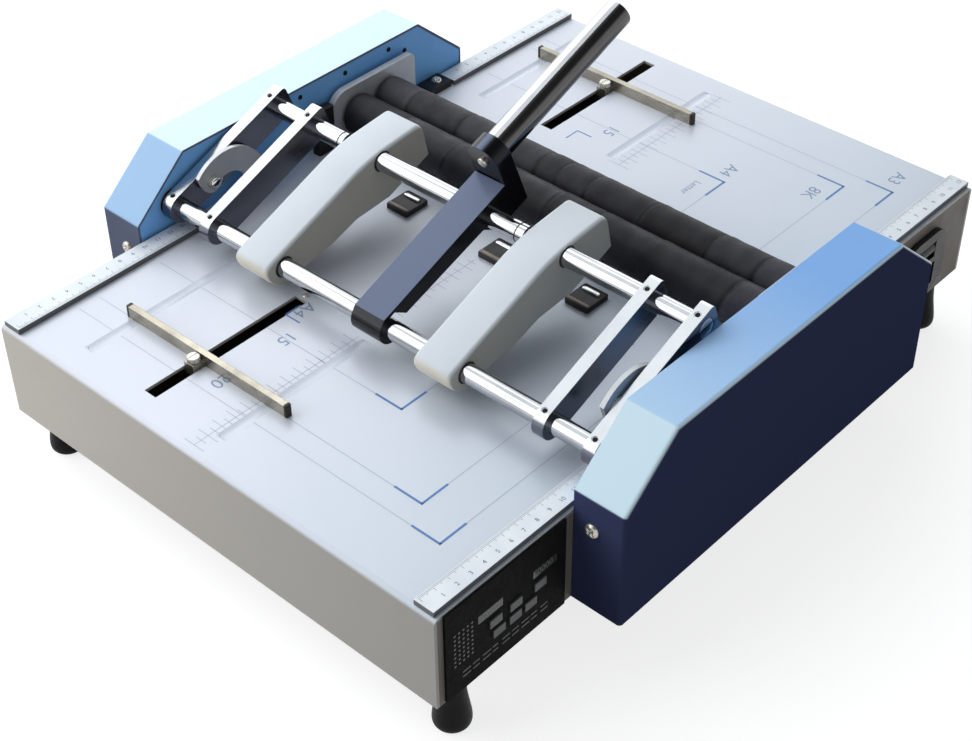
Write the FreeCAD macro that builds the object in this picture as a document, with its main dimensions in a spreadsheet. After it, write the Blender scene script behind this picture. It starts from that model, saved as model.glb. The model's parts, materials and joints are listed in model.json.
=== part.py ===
import FreeCAD, Part
import math
import os
import re
import Sketcher
from FreeCAD import Placement, Rotation, Vector

# Desktop paper stapling and folding machine, in millimetres.
# X runs along the rollers, Y to the back, Z up from the floor; the origin is under the middle.

doc = FreeCAD.newDocument("paper_machine")
dims = doc.addObject("Spreadsheet::Sheet", "Dims")
sizes = {
    # base box and feet
    "foot_height": 38,
    "foot_radius": 11,
    "foot_edge": 4,
    "foot_in_x": 11,
    "foot_in_y": 22,
    "base_width": 348,
    "base_length": 500,
    "base_height": 65,
    "base_sheet": 1.5,
    "table_sheet": 2,
    "bend_radius": 4,
    "face_seam": 0.1,
    # folding rollers
    "nip_y": 48.5,
    "roller_radius": 14.3,
    "roller_side": 0.2,
    "roller_gap": 0.3,
    "paper_gap": 2.7,
    "shaft_radius": 5,
    "running_gap": 0.05,
    "touch_gap": 0.02,
    "shaft_short": 0.5,
    "shaft_past": 6,
    # end plates of the rollers
    "plate_thick": 5,
    "plate_in": 9,
    "plate_height": 37,
    "plate_front": 13,
    "plate_back": 90.5,
    "plate_front_round": 14,
    "plate_back_round": 4,
    "bush_wall": 2,
    "bush_flange": 1.5,
    "bush_rim": 2,
    # side walls and covers
    "wall_thick": 1.5,
    "wall_inset": 1.7,
    "cover_width": 34,
    "cover_length": 290,
    "cover_top": 208,
    "cover_rise": 49.5,
    "cover_drop": 35.5,
    "cover_sheet": 1.5,
    "cover_bend": 2.5,
    "lip_height": 18,
    "flange_width": 24,
    "flange_low": 80,
    "flange_high": 112,
    "cover_screw_in": 13,
    "cover_screw_z": 96,
    "cover_screw_radius": 4.5,
    "cover_screw_head": 2.6,
    "screw_core": 1.9,
    "screw_reach": 7,
    "wall_screw_radius": 2.2,
    "wall_screw_drop": 7,
    "wall_screw_low": 14,
    "wall_screw_step": 40.5,
    "wall_screw_first": -6,
    "wall_screw_last": 90,
    # blade slot and fold blade
    "slot_width": 5,
    "blade_thick": 1.2,
    "blade_in": 24,
    "blade_low": 62,
    "blade_below": 2.5,
    "rack_half_x": 95,
    "rack_width": 8,
    "rack_low": 52,
    "rack_high": 82,
    "rack_back": 6,
    "rack_root": 1.2,
    "rack_tip": 1,
    "pinion_module": 1.5,
    "pinion_teeth": 12,
    "pinion_z": 74,
    "blade_shaft_radius": 4,
    "blade_shaft_in": 25,
    "blade_shaft_right": 110,
    "block_half_x": 66,
    "block_thick": 12,
    "block_half_y": 8,
    "block_head": 9,
    "guide_overlap": 4,
    "guide_depth": 10,
    "guide_half_y": 6,
    "guide_head": 3,
    "guide_floor": 1,
    "blade_motor_radius": 15,
    "blade_motor_length": 24,
    "blade_motor_foot": 8,
    "blade_motor_grip": 6,
    # roller drive
    "gear_module": 1.7,
    "roller_teeth": 17,
    "idler_teeth": 20,
    "motor_teeth": 16,
    "gear_off": 6,
    "gear_width": 10,
    "gear_tip": 0.95,
    "gear_root": 1.2,
    "pinion_tip": 0.7,
    "pinion_root": 1,
    "backlash": 0.2,
    "pressure_angle": 20,
    "drive_angle": 236.8,
    "idler_bore": 3,
    "idler_spacer": 5,
    "motor_radius": 18,
    "motor_length": 72,
    "motor_shaft": 4,
    "motor_boss": 8,
    "motor_shaft_in": 10,
    # press frame
    "hinge_in": 28,
    "hinge_rise": 18.8,
    "tilt": 21.2,
    "rod_radius": 6,
    "rod_spacing": 90,
    "rod_past": 23,
    "bar_height": 20,
    "bar_thick": 8,
    "bar_gap": 34.2,
    "outer_bar_in": 6.8,
    "bar_tail": 10,
    "bar_corner": 3,
    "set_screw_radius": 2,
    "set_screw_sink": 0.4,
    "journal_wall": 3,
    "journal_length": 4,
    "spring_wire": 0.9,
    "spring_turns": 6,
    "spring_pitch": 2.1,
    "spring_clear": 0.25,
    # curved stop arms
    "curve_u": 30.2,
    "curve_w": -15,
    "curve_outer": 30.7,
    "curve_inner": 14.5,
    "curve_thick": 3,
    "curve_gap": 2.2,
    "curve_bolt_u": 24,
    "curve_bolt_w": 3,
    "curve_bolt_radius": 3,
    "curve_head_radius": 4.6,
    "curve_head": 3,
    "curve_washer": 7,
    "curve_lobe": 8,
    "curve_end": 4.5,
    "curve_tail_from": 48,
    "curve_tail_to": 62,
    "curve_tail_low": 1,
    "curve_tail_high": 7,
    "curve_hook_to": 70.5,
    "curve_hook_low": 9,
    "curve_hook_gap": 0.3,
    "curve_slot_from": 40,
    "curve_slot_to": 67,
    "curve_slot_side": 1.1,
    # staple arms and heads
    "arm_width": 28,
    "left_arm_x": -86.5,
    "right_arm_x": 59.5,
    "arm_front": 13,
    "arm_top": 9.6,
    "arm_bend_u": 82,
    "arm_end_u": 126,
    "arm_end_w": -3,
    "arm_heel_u": 122,
    "arm_heel_w": -28,
    "arm_neck_u": 84,
    "arm_mid_u": 57,
    "arm_mid_w": -19.6,
    "arm_low_u": 35,
    "arm_low_w": -18.6,
    "arm_chin_u": 4,
    "arm_chin_w": -12,
    "arm_nose_round": 9,
    "arm_edge_round": 2.5,
    "arm_wall": 2,
    "arm_nose_wall": 2.4,
    "arm_nose_run": 4.8,
    "arm_bend_wall": 0.5,
    "arm_end_wall": 2.6,
    "arm_heel_wall": 2.2,
    "arm_open": 10,
    "head_side": 0.3,
    "head_front": 80,
    "head_back": 117,
    "head_top": 3,
    "head_step": 99,
    "head_low_front": -27,
    "head_low_back": -31,
    "clinch_left_x": -81,
    "clinch_mid_x": -3,
    "clinch_right_x": 66,
    "clinch_from_hinge": 112,
    "clinch_width": 20,
    "clinch_length": 22,
    "clinch_height": 5,
    "clinch_bar": 14,
    "clinch_bar_depth": 5,
    "clinch_bar_in": 2.5,
    "clinch_sink": 0.8,
    # lever and handle
    "lever_x": 4.5,
    "lever_width": 23,
    "lever_sheet": 2.4,
    "lever_top": 10.5,
    "lever_nose": 9.6,
    "lever_brow": 2,
    "lever_brow_in": 5,
    "lever_hook": 2.2,
    "lever_notch": 6.5,
    "lever_throat": 13,
    "lever_throat_low": -0.5,
    "lever_plate_end": 107,
    "lever_end": 119,
    "lever_heel": -14,
    "lever_heel_long": 27,
    "lever_waist": 8,
    "lever_belly": -3,
    "tube_w": 25.7,
    "tube_radius": 9,
    "tube_bore": 7.5,
    "tube_plug": 6,
    "tube_end": 236,
    "socket_low": 13,
    "handle_screw_core": 2,
    "handle_screw_radius": 3.3,
    "handle_screw_head": 2,
    "tube_edge": 1,
    # paper stops
    "stop_length": 134,
    "stop_thick": 4,
    "stop_height": 8,
    "stop_lift": 0.05,
    "front_stop_in": 117,
    "front_stop_rest": 57,
    "rear_stop_in": 102,
    "rear_stop_rest": 59,
    "front_slot_off": 4,
    "front_slot_in": 18.5,
    "slot_past_hinge": 1,
    "rear_slot_off": 3.7,
    "rear_slot_from": 23,
    "rear_slot_in": 15,
    "stop_slot_width": 9.5,
    "stop_slot_side": 0.3,
    "stop_boss": 8,
    "stop_boss_height": 4,
    "stop_under": 2,
    "stop_under_half": 8,
    "stop_screw_radius": 3.8,
    "stop_screw_height": 3,
    "stop_screw_core": 1.5,
    "over": 1,
    "groove_width": 7,
    "groove_depth": 0.5,
    "groove_pin": 1.5,
    "front_groove_before": 60.5,
    "front_groove_after": 53,
    "groove_in": 20,
    "rear_groove_before": 62,
    "rear_groove_after": 51.5,
    # rulers, brackets, panel, power
    "ruler_out": 2,
    "ruler_width": 13.5,
    "ruler_thick": 3.5,
    "ruler_end": 2,
    "ruler_past_hinge": 19,
    "ruler_from_bracket": 2,
    "bracket_gap": 9.5,
    "bracket_length": 20,
    "bracket_hole": 12,
    "bracket_width": 13,
    "bracket_height": 5,
    "table_screw_radius": 3.6,
    "table_screw_head": 1.56,
    "table_screw_in": 4,
    "panel_thick": 1.5,
    "panel_in": 6,
    "panel_gap": 7,
    "panel_low": 39,
    "panel_high": 102,
    "window_margin": 6,
    "panel_row_one": 80,
    "panel_row_two": 71,
    "panel_row_three": 62,
    "display_left_in": 58.5,
    "display_right_in": 16.5,
    "display_width": 19,
    "display_height": 6,
    "display_sink": 0.2,
    "key_width": 9,
    "key_height": 5.5,
    "key_a_in": 55.5,
    "key_b_in": 40,
    "key_c_in": 21,
    "key_d_in": 53,
    "key_e_in": 40.5,
    "key_f_in": 28.5,
    "key_proud": 1,
    "key_flange": 0.9,
    "key_side": 0.08,
    "key_rim": 0.8,
    "key_stem": 1.5,
    "board_in": 16,
    "board_thick": 1.6,
    "board_low": 46,
    "board_high": 96,
    "switch_tall": 3,
    "switch_wide": 5.94,
    "post_depth": 4,
    "post_width": 8,
    "key_travel_gap": 1,
    "inlet_in": 54,
    "inlet_z": 70,
    "inlet_size": 46,
    "inlet_round": 13,
    "inlet_rim": 4,
    "inlet_body": 34,
    "inlet_depth": 26,
    "rocker_length": 20,
    "rocker_width": 12,
    "rocker_up": 10,
    "socket_up": -9,
    "socket_width": 24,
    "socket_height": 17,
    "socket_depth": 14,
    "contact_spread": 7,
    "contact_low": 1,
    "contact_high": 3,
    "contact_length": 4.5,
    "contact_thick": 1,
    "contact_tall": 4,
}
# sizes that follow from the ones above
relations = {
    "shaft_left": "base_width/2-shaft_short",
    "plate_inner_x": "base_width/2-plate_in",
    "roller_half": "plate_inner_x-bush_flange-roller_side",
    "gear_start_x": "base_width/2+gear_off",
    "shaft_right": "gear_start_x+gear_width+shaft_past",
    "outer_bar_x": "base_width/2-outer_bar_in",
    "inner_bar_x": "outer_bar_x-bar_gap",
    "front_rod_half": "base_width/2+rod_past",
    "blade_half": "base_width/2-blade_in",
    "blade_shaft_left": "blade_half-blade_shaft_in",
    "board_x": "base_width/2-board_in",
    "hinge_y": "hinge_in-cover_length/2",
    "curve_slot_front": "hinge_y+curve_slot_from",
    "curve_slot_back": "hinge_y+curve_slot_to",
    "curve_tail_front": "hinge_y+curve_tail_from",
    "curve_tail_back": "hinge_y+curve_tail_to",
    "curve_hook": "hinge_y+curve_hook_to",
    "clinch_y": "hinge_y+clinch_from_hinge",
    "front_stop_x": "front_stop_in-base_width/2",
    "rear_stop_x": "rear_stop_in-base_width/2",
    "front_stop_y": "front_stop_rest-base_length/2",
    "rear_stop_y": "base_length/2-rear_stop_rest",
    "front_slot_x": "front_stop_x-front_slot_off",
    "rear_slot_x": "rear_stop_x-rear_slot_off",
    "front_slot_near": "front_slot_in-base_length/2",
    "front_slot_far": "hinge_y+slot_past_hinge",
    "bracket_y": "plate_back+bracket_gap",
    "rear_slot_near": "bracket_y+rear_slot_from",
    "rear_slot_far": "base_length/2-rear_slot_in",
    "front_groove_left": "front_stop_x-front_groove_before",
    "front_groove_right": "front_stop_x+front_groove_after",
    "front_groove_near": "groove_in-base_length/2",
    "front_groove_far": "hinge_y-slot_past_hinge",
    "rear_groove_left": "rear_stop_x-rear_groove_before",
    "rear_groove_right": "rear_stop_x+rear_groove_after",
    "rear_groove_near": "rear_slot_near",
    "rear_groove_far": "base_length/2-groove_in",
    "front_ruler_length": "hinge_y+ruler_past_hinge+base_length/2-ruler_end",
    "rear_ruler_length": "base_length/2-ruler_end-bracket_y-bracket_length-ruler_from_bracket",
    "panel_front": "panel_in-base_length/2",
    "panel_back": "-cover_length/2-panel_gap",
    "display_left_y": "panel_back-display_left_in",
    "display_right_y": "panel_back-display_right_in",
    "key_a_y": "panel_back-key_a_in",
    "key_b_y": "panel_back-key_b_in",
    "key_c_y": "panel_back-key_c_in",
    "key_d_y": "panel_back-key_d_in",
    "key_e_y": "panel_back-key_e_in",
    "key_f_y": "panel_back-key_f_in",
    "inlet_y": "base_length/2-inlet_in",
    "tube_start": "lever_plate_end+lever_sheet+touch_gap",
}
for row, name in enumerate(list(sizes) + list(relations), 1):
    dims.set("A%d" % row, name)
    dims.set("B%d" % row, str(sizes[name]) if name in sizes else "=" + relations[name])
    dims.setAlias("B%d" % row, name)
doc.recompute()

pattern = re.compile(r"\b[a-z][a-z_]*\b")


def named(text):
    # an expression in which each size name points at its cell
    def swap(match):
        word = match.group(0)
        return "Dims." + word if word in sizes or word in relations else word
    return pattern.sub(swap, text)


def number(name):
    return float(dims.get(name))


TOP = "(foot_height+base_height)"
SIDE = "base_width/2"
AXLE = "(foot_height+base_height+paper_gap+roller_radius)"
FRONT_ROLL = "(nip_y-roller_radius-roller_gap/2)"
REAR_ROLL = "(nip_y+roller_radius+roller_gap/2)"
HINGE = "(foot_height+base_height+hinge_rise)"
RUN = "((cover_length-cover_top)/2)"
SLANT = "sqrt(" + RUN + "^2+cover_drop^2)"


def body(label):
    made = doc.addObject("PartDesign::Body", label)
    made.Label = label
    made.AllowCompound = True
    return made


def tilted(label, centre="0"):
    # a body drawn along the press frame: local Y runs up the bars from the hinge
    made = body(label)
    made.Placement = Placement(Vector(0, 0, 0), Rotation(Vector(1, 0, 0), number("tilt")))
    made.setExpression("Placement.Base.x", named(centre))
    made.setExpression("Placement.Base.y", named("hinge_y"))
    made.setExpression("Placement.Base.z", named(HINGE))
    made.setExpression("Placement.Rotation.Angle", named("tilt"))
    return made


def drawing(owner, role, start):
    made = owner.newObject("Sketcher::SketchObject", owner.Name + "_sketch")
    plane = [item for item in owner.Origin.OriginFeatures if item.Role == role][0]
    made.AttachmentSupport = [(plane, "")]
    made.MapMode = "FlatFace"
    made.setExpression("AttachmentOffset.Base.z", named(start))
    return made


def fix(sketch, kind, item, spot, guess, text):
    if spot:
        rule = Sketcher.Constraint(kind, -1, 1, item, spot, guess)
    else:
        rule = Sketcher.Constraint(kind, item, guess)
    index = sketch.addConstraint(rule)
    sketch.setExpression("Constraints[%d]" % index, named(text))


def draw_polygon(sketch, points):
    count = len(points)
    first = sketch.GeometryCount
    guesses = []
    for index in range(count):
        angle = 2 * math.pi * index / count
        guesses.append(Vector(100 * math.cos(angle), 100 * math.sin(angle), 0))
    for index in range(count):
        line = Part.LineSegment(guesses[index], guesses[(index + 1) % count])
        sketch.addGeometry(line, False)
    for index in range(count):
        following = first + (index + 1) % count
        sketch.addConstraint(Sketcher.Constraint("Coincident", first + index, 2, following, 1))
    for index in range(count):
        across, upward = points[index]
        fix(sketch, "DistanceX", first + index, 1, guesses[index].x, across)
        fix(sketch, "DistanceY", first + index, 1, guesses[index].y, upward)


def draw_circle(sketch, across, upward, radius):
    ring = Part.Circle(Vector(10, 10, 0), Vector(0, 0, 1), 5)
    item = sketch.addGeometry(ring, False)
    fix(sketch, "DistanceX", item, 3, 10, across)
    fix(sketch, "DistanceY", item, 3, 10, upward)
    fix(sketch, "Radius", item, 0, 5, radius)


def outline(sketch, shapes):
    # a shape is a list of corners, four edges (low, low, high, high) or a circle
    for shape in shapes:
        if isinstance(shape, list):
            draw_polygon(sketch, shape)
        elif len(shape) == 4:
            left, low, right, high = shape
            draw_polygon(sketch, [(left, low), (right, low), (right, high), (left, high)])
        else:
            draw_circle(sketch, *shape)


def add(owner, role, start, length, shapes):
    place = "-((%s)+(%s))" % (start, length) if role == "XZ_Plane" else start
    sketch = drawing(owner, role, place)
    outline(sketch, shapes)
    made = owner.newObject("PartDesign::Pad", owner.Name + "_pad")
    made.Profile = sketch
    made.setExpression("Length", named(length))
    owner.Tip = made
    return made


def cut(owner, role, start, length, shapes):
    place = "-(%s)" % start if role == "XZ_Plane" else "(%s)+(%s)" % (start, length)
    sketch = drawing(owner, role, place)
    outline(sketch, shapes)
    made = owner.newObject("PartDesign::Pocket", owner.Name + "_pocket")
    made.Profile = sketch
    made.setExpression("Length", named(length))
    owner.Tip = made
    return made


def soften(owner, radius, chosen):
    doc.recompute()
    before = owner.Tip
    edges = []
    for index, edge in enumerate(before.Shape.Edges):
        if chosen(edge):
            edges.append("Edge%d" % (index + 1))
    made = owner.newObject("PartDesign::Fillet", owner.Name + "_fillet")
    made.Base = (before, edges)
    made.setExpression("Radius", named(radius))
    owner.Tip = made
    return made


def middle(edge):
    return edge.valueAt((edge.FirstParameter + edge.LastParameter) / 2)


def near(value, target):
    return abs(value - target) < 0.01


def runs_along(edge, axis):
    if len(edge.Vertexes) != 2:
        return False
    step = edge.Vertexes[1].Point - edge.Vertexes[0].Point
    step.normalize()
    return abs(abs(step.dot(axis)) - 1) < 1e-6


ALONG_X = Vector(1, 0, 0)
mirrored = ((-1, "left"), (1, "right"))
top_z = number("foot_height") + number("base_height")
side_x = number("base_width") / 2
half_length = number("base_length") / 2


def span(sign, near_x, far_x):
    # start and length along X of a piece between two distances from the middle
    if sign > 0:
        return "(%s)" % near_x, "(%s)-(%s)" % (far_x, near_x)
    return "-(%s)" % far_x, "(%s)-(%s)" % (far_x, near_x)


# ---- base box: floor and two sides, open towards the two tables ----
base_pan = body("base_pan")
inner_low = "foot_height+base_sheet"
pan_start = "-base_length/2+table_sheet+face_seam"
pan_length = "base_length-2*(table_sheet+face_seam)"
pan_top = TOP + "-table_sheet"
add(base_pan, "XZ_Plane", pan_start, pan_length, [[
    ("-base_width/2", "foot_height"), ("base_width/2", "foot_height"), ("base_width/2", pan_top),
    ("base_width/2-base_sheet", pan_top), ("base_width/2-base_sheet", inner_low),
    ("-base_width/2+base_sheet", inner_low), ("-base_width/2+base_sheet", pan_top),
    ("-base_width/2", pan_top)]])
pinch = "gear_module*(roller_teeth+2*idler_teeth+motor_teeth)/2"
MOTOR_Y = "(%s+%s*cos(drive_angle*1deg))" % (FRONT_ROLL, pinch)
MOTOR_Z = "(%s+%s*sin(drive_angle*1deg))" % (AXLE, pinch)
half_pinch = "gear_module*(roller_teeth+idler_teeth)/2"
IDLER_Y = "(%s+%s*cos(drive_angle*1deg))" % (FRONT_ROLL, half_pinch)
IDLER_Z = "(%s+%s*sin(drive_angle*1deg))" % (AXLE, half_pinch)
cut(base_pan, "YZ_Plane", SIDE + "-2*base_sheet", "3*base_sheet", [
    (MOTOR_Y, MOTOR_Z, "motor_boss+touch_gap"),
    ("panel_front+window_margin", "panel_low+window_margin+base_sheet",
     "panel_back-window_margin", "panel_high-window_margin"),
    ("inlet_y-inlet_body/2-touch_gap", "inlet_z-inlet_body/2-touch_gap",
     "inlet_y+inlet_body/2+touch_gap", "inlet_z+inlet_body/2+touch_gap")])

# ---- front and rear tables: each one bent sheet, top and end face ----
front_table = body("front_table")
front_edge = "nip_y-slot_width/2"
add(front_table, "YZ_Plane", "-base_width/2", "base_width", [[
    ("-base_length/2", "foot_height"), ("-base_length/2+table_sheet", "foot_height"),
    ("-base_length/2+table_sheet", TOP + "-table_sheet"), (front_edge, TOP + "-table_sheet"),
    (front_edge, TOP), ("-base_length/2", TOP)]])


def outer_bend(edge):
    spot = middle(edge)
    return runs_along(edge, ALONG_X) and near(abs(spot.y), half_length) and near(spot.z, top_z)


soften(front_table, "bend_radius", outer_bend)
slot_half = "stop_slot_width/2"
cut(front_table, "XY_Plane", TOP + "-2*table_sheet", "3*table_sheet", [
    ("front_slot_x-" + slot_half, "front_slot_near", "front_slot_x+" + slot_half, "front_slot_far"),
    ("-outer_bar_x+bar_thick/2+curve_gap-curve_slot_side", "curve_slot_front",
     "-outer_bar_x+bar_thick/2+curve_gap+curve_thick+curve_slot_side", "curve_slot_back"),
    ("outer_bar_x-bar_thick/2-curve_gap-curve_thick-curve_slot_side", "curve_slot_front",
     "outer_bar_x-bar_thick/2-curve_gap+curve_slot_side", "curve_slot_back")])
groove_half = "groove_width/2"
cut(front_table, "XY_Plane", TOP + "-groove_depth", "groove_depth+table_sheet", [
    ("front_groove_left-" + groove_half, "front_groove_near",
     "front_groove_left+" + groove_half, "front_groove_far"),
    ("front_groove_right-" + groove_half, "front_groove_near",
     "front_groove_right+" + groove_half, "front_groove_far")])

rear_table = body("rear_table")
rear_edge = "nip_y+slot_width/2"
add(rear_table, "YZ_Plane", "-base_width/2", "base_width", [[
    ("base_length/2", "foot_height"), ("base_length/2-table_sheet", "foot_height"),
    ("base_length/2-table_sheet", TOP + "-table_sheet"), (rear_edge, TOP + "-table_sheet"),
    (rear_edge, TOP), ("base_length/2", TOP)]])
soften(rear_table, "bend_radius", outer_bend)
cut(rear_table, "XY_Plane", TOP + "-2*table_sheet", "3*table_sheet", [
    ("rear_slot_x-" + slot_half, "rear_slot_near", "rear_slot_x+" + slot_half, "rear_slot_far")])
cut(rear_table, "XY_Plane", TOP + "-groove_depth", "groove_depth+table_sheet", [
    ("rear_groove_left-" + groove_half, "rear_groove_near",
     "rear_groove_left+" + groove_half, "rear_groove_far"),
    ("rear_groove_right-" + groove_half, "rear_groove_near",
     "rear_groove_right+" + groove_half, "rear_groove_far")])

# ---- four rubber feet ----
feet = body("feet")
spots = []
for sign_x in ("-1", "1"):
    for sign_y in ("-1", "1"):
        spots.append((sign_x + "*(base_width/2-foot_in_x)", sign_y + "*(base_length/2-foot_in_y)"))
add(feet, "XY_Plane", "0", "foot_height", [(x, y, "foot_radius") for x, y in spots])
soften(feet, "foot_edge", lambda edge: near(middle(edge).z, 0) and len(edge.Vertexes) == 1)


# ---- side walls and covers ----
def side_outline(inset, low):
    # the cover's profile, drawn in by a chosen amount
    shift_low = "(%s)*(%s-cover_drop)/%s" % (inset, SLANT, RUN)
    shift_top = "(%s)*(%s-%s)/cover_drop" % (inset, SLANT, RUN)
    end = "(cover_length/2-(%s))" % inset
    crown = "(cover_top/2-%s)" % shift_top
    knee = "(%s+cover_rise-cover_drop-%s)" % (TOP, shift_low)
    roof = "(%s+cover_rise-(%s))" % (TOP, inset)
    return [("-" + end, low), (end, low), (end, knee), (crown, roof), ("-" + crown, roof),
            ("-" + end, knee)]


screw_ys = ["wall_screw_first", "wall_screw_first+wall_screw_step",
            "wall_screw_first+2*wall_screw_step"]
screw_spots = [(y, TOP + "+cover_rise-wall_screw_drop") for y in screw_ys]
screw_spots.append(("wall_screw_last", TOP + "+cover_rise-wall_screw_low"))
for sign, hand in mirrored:
    wall = body(hand + "_wall")
    start, length = span(sign, SIDE, SIDE + "+wall_thick")
    add(wall, "YZ_Plane", start, length, [side_outline("wall_inset", "foot_height")])
    start, length = span(sign, SIDE, SIDE + "+flange_width")
    edge_y = "(cover_length/2-wall_inset)"
    add(wall, "YZ_Plane", start, length, [
        ("-" + edge_y, "flange_low", "-" + edge_y + "+wall_thick", "flange_high"),
        (edge_y + "-wall_thick", "flange_low", edge_y, "flange_high")])
    start, length = span(sign, SIDE + "-wall_thick", SIDE + "+2*wall_thick")
    cut(wall, "YZ_Plane", start, length, [("hinge_y", HINGE, "rod_radius+journal_wall+touch_gap")]
        + [(y, z, "screw_core/2+touch_gap") for y, z in screw_spots])
    if sign > 0:
        cut(wall, "YZ_Plane", start, length, [
            (FRONT_ROLL, AXLE, "shaft_radius+bush_wall"), (REAR_ROLL, AXLE, "shaft_radius+bush_wall"),
            (MOTOR_Y, MOTOR_Z, "motor_boss+touch_gap")])
        add(wall, "YZ_Plane", SIDE + "+wall_thick", "gear_start_x+gear_width-" + SIDE + "+wall_thick",
            [(IDLER_Y, IDLER_Z, "idler_bore")])
        add(wall, "YZ_Plane", SIDE + "+wall_thick", "gear_start_x-" + SIDE + "-wall_thick-running_gap",
            [(IDLER_Y, IDLER_Z, "idler_spacer")])
    cut(wall, "XZ_Plane", "-cover_length/2-over", "cover_length+2*over",
        [("%d*(%s+cover_screw_in)" % (sign, SIDE), "cover_screw_z", "screw_core+touch_gap")])

    cover = body(hand + "_cover")
    start, length = span(sign, SIDE, SIDE + "+cover_width")
    add(cover, "YZ_Plane", start, length, [side_outline("0", "foot_height")])
    outer_x = sign * (side_x + number("cover_width"))

    def cover_bends(edge):
        spot = middle(edge)
        if near(spot.z, number("foot_height")):
            return False
        if near(spot.x, sign * side_x):
            return False
        return near(spot.x, outer_x) or not near(abs(spot.y), 0)

    soften(cover, "cover_bend", cover_bends)
    start, length = span(sign, SIDE + "-cover_sheet", SIDE + "+cover_width-cover_sheet")
    cut(cover, "YZ_Plane", start, length, [side_outline("cover_sheet", "foot_height-cover_sheet")])
    start, length = span(sign, SIDE + "+wall_thick", SIDE + "+wall_thick+cover_sheet")
    add(cover, "YZ_Plane", start, length, [(
        "-cover_top/2+wall_inset", TOP + "+cover_rise-lip_height",
        "cover_top/2-wall_inset", TOP + "+cover_rise-cover_sheet/2")])
    cut(cover, "YZ_Plane", start, length,
        [(y, z, "screw_core/2+touch_gap") for y, z in screw_spots])
    cut(cover, "XZ_Plane", "-cover_length/2-over", "cover_length+2*over",
        [("%d*(%s+cover_screw_in)" % (sign, SIDE), "cover_screw_z", "screw_core+touch_gap")])

cover_screws = body("cover_screws")
screw_x = SIDE + "+cover_screw_in"
heads = [("-(%s)" % screw_x, "cover_screw_z", "cover_screw_radius"),
         (screw_x, "cover_screw_z", "cover_screw_radius")]
cores = [("-(%s)" % screw_x, "cover_screw_z", "screw_core"), (screw_x, "cover_screw_z", "screw_core")]
add(cover_screws, "XZ_Plane", "-cover_length/2-cover_screw_head", "cover_screw_head", heads)
add(cover_screws, "XZ_Plane", "-cover_length/2", "screw_reach", cores)
add(cover_screws, "XZ_Plane", "cover_length/2", "cover_screw_head", heads)
add(cover_screws, "XZ_Plane", "cover_length/2-screw_reach", "screw_reach", cores)
outer_face = number("cover_length") / 2 + number("cover_screw_head")
soften(cover_screws, "cover_screw_head/2", lambda edge: near(abs(middle(edge).y), outer_face))

wall_screws = body("wall_screws")
for sign, hand in mirrored:
    start, length = span(sign, SIDE + "-cover_sheet", SIDE)
    add(wall_screws, "YZ_Plane", start, length, [(y, z, "wall_screw_radius") for y, z in screw_spots])
    start, length = span(sign, SIDE, SIDE + "+wall_thick+2*cover_sheet")
    add(wall_screws, "YZ_Plane", start, length, [(y, z, "screw_core/2") for y, z in screw_spots])

# ---- ruler strips on both tables ----
ruler_low = "base_width/2-ruler_out-ruler_width"
ruler_high = "base_width/2-ruler_out"
front_ruler_from = "-base_length/2+ruler_end"
front_ruler_to = front_ruler_from + "+front_ruler_length"
rear_ruler_to = "base_length/2-ruler_end"
rear_ruler_from = rear_ruler_to + "-rear_ruler_length"
rulers = body("rulers")
strips = []
for ruler_from, ruler_to in ((front_ruler_from, front_ruler_to), (rear_ruler_from, rear_ruler_to)):
    strips.append(("-(%s)" % ruler_high, ruler_from, "-(%s)" % ruler_low, ruler_to))
    strips.append((ruler_low, ruler_from, ruler_high, ruler_to))
add(rulers, "XY_Plane", TOP, "ruler_thick", strips)

# ---- roller end plates, bushes and the two rollers ----
for sign, hand in mirrored:
    plate = body(hand + "_end_plate")
    start, length = span(sign, "plate_inner_x", "plate_inner_x+plate_thick")
    add(plate, "YZ_Plane", start, length, [("plate_front", TOP, "plate_back", TOP + "+plate_height")])
    crest = top_z + number("plate_height")
    for alias, corner in (("plate_front_round", "plate_front"), ("plate_back_round", "plate_back")):
        soften(plate, alias, lambda edge: runs_along(edge, ALONG_X) and near(middle(edge).z, crest)
               and near(middle(edge).y, number(corner)))
    start, length = span(sign, "plate_inner_x-over", "plate_inner_x+plate_thick+over")
    cut(plate, "YZ_Plane", start, length, [(FRONT_ROLL, AXLE, "shaft_radius+bush_wall"),
                                           (REAR_ROLL, AXLE, "shaft_radius+bush_wall")])

bushes = body("bushes")
for sign, hand in mirrored:
    start, length = span(sign, "plate_inner_x", "plate_inner_x+plate_thick")
    seats = [(FRONT_ROLL, AXLE), (REAR_ROLL, AXLE)]
    add(bushes, "YZ_Plane", start, length, [(y, z, "shaft_radius+bush_wall") for y, z in seats])
    start, length = span(sign, "plate_inner_x-bush_flange", "plate_inner_x")
    add(bushes, "YZ_Plane", start, length,
        [(y, z, "shaft_radius+bush_wall+bush_rim") for y, z in seats])
    start, length = span(sign, "plate_inner_x-bush_flange-over", "plate_inner_x+plate_thick+over")
    cut(bushes, "YZ_Plane", start, length, [(y, z, "shaft_radius+running_gap") for y, z in seats])
    start, length = span(sign, SIDE, SIDE + "+journal_length")
    add(bushes, "YZ_Plane", start, length, [("hinge_y", HINGE, "rod_radius+journal_wall")])
    start, length = span(sign, SIDE + "+wall_thick", SIDE + "+journal_length")
    add(bushes, "YZ_Plane", start, length, [("hinge_y", HINGE, "rod_radius+2*journal_wall")])
    start, length = span(sign, SIDE + "-over", SIDE + "+journal_length+over")
    cut(bushes, "YZ_Plane", start, length, [("hinge_y", HINGE, "rod_radius+running_gap")])

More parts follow.
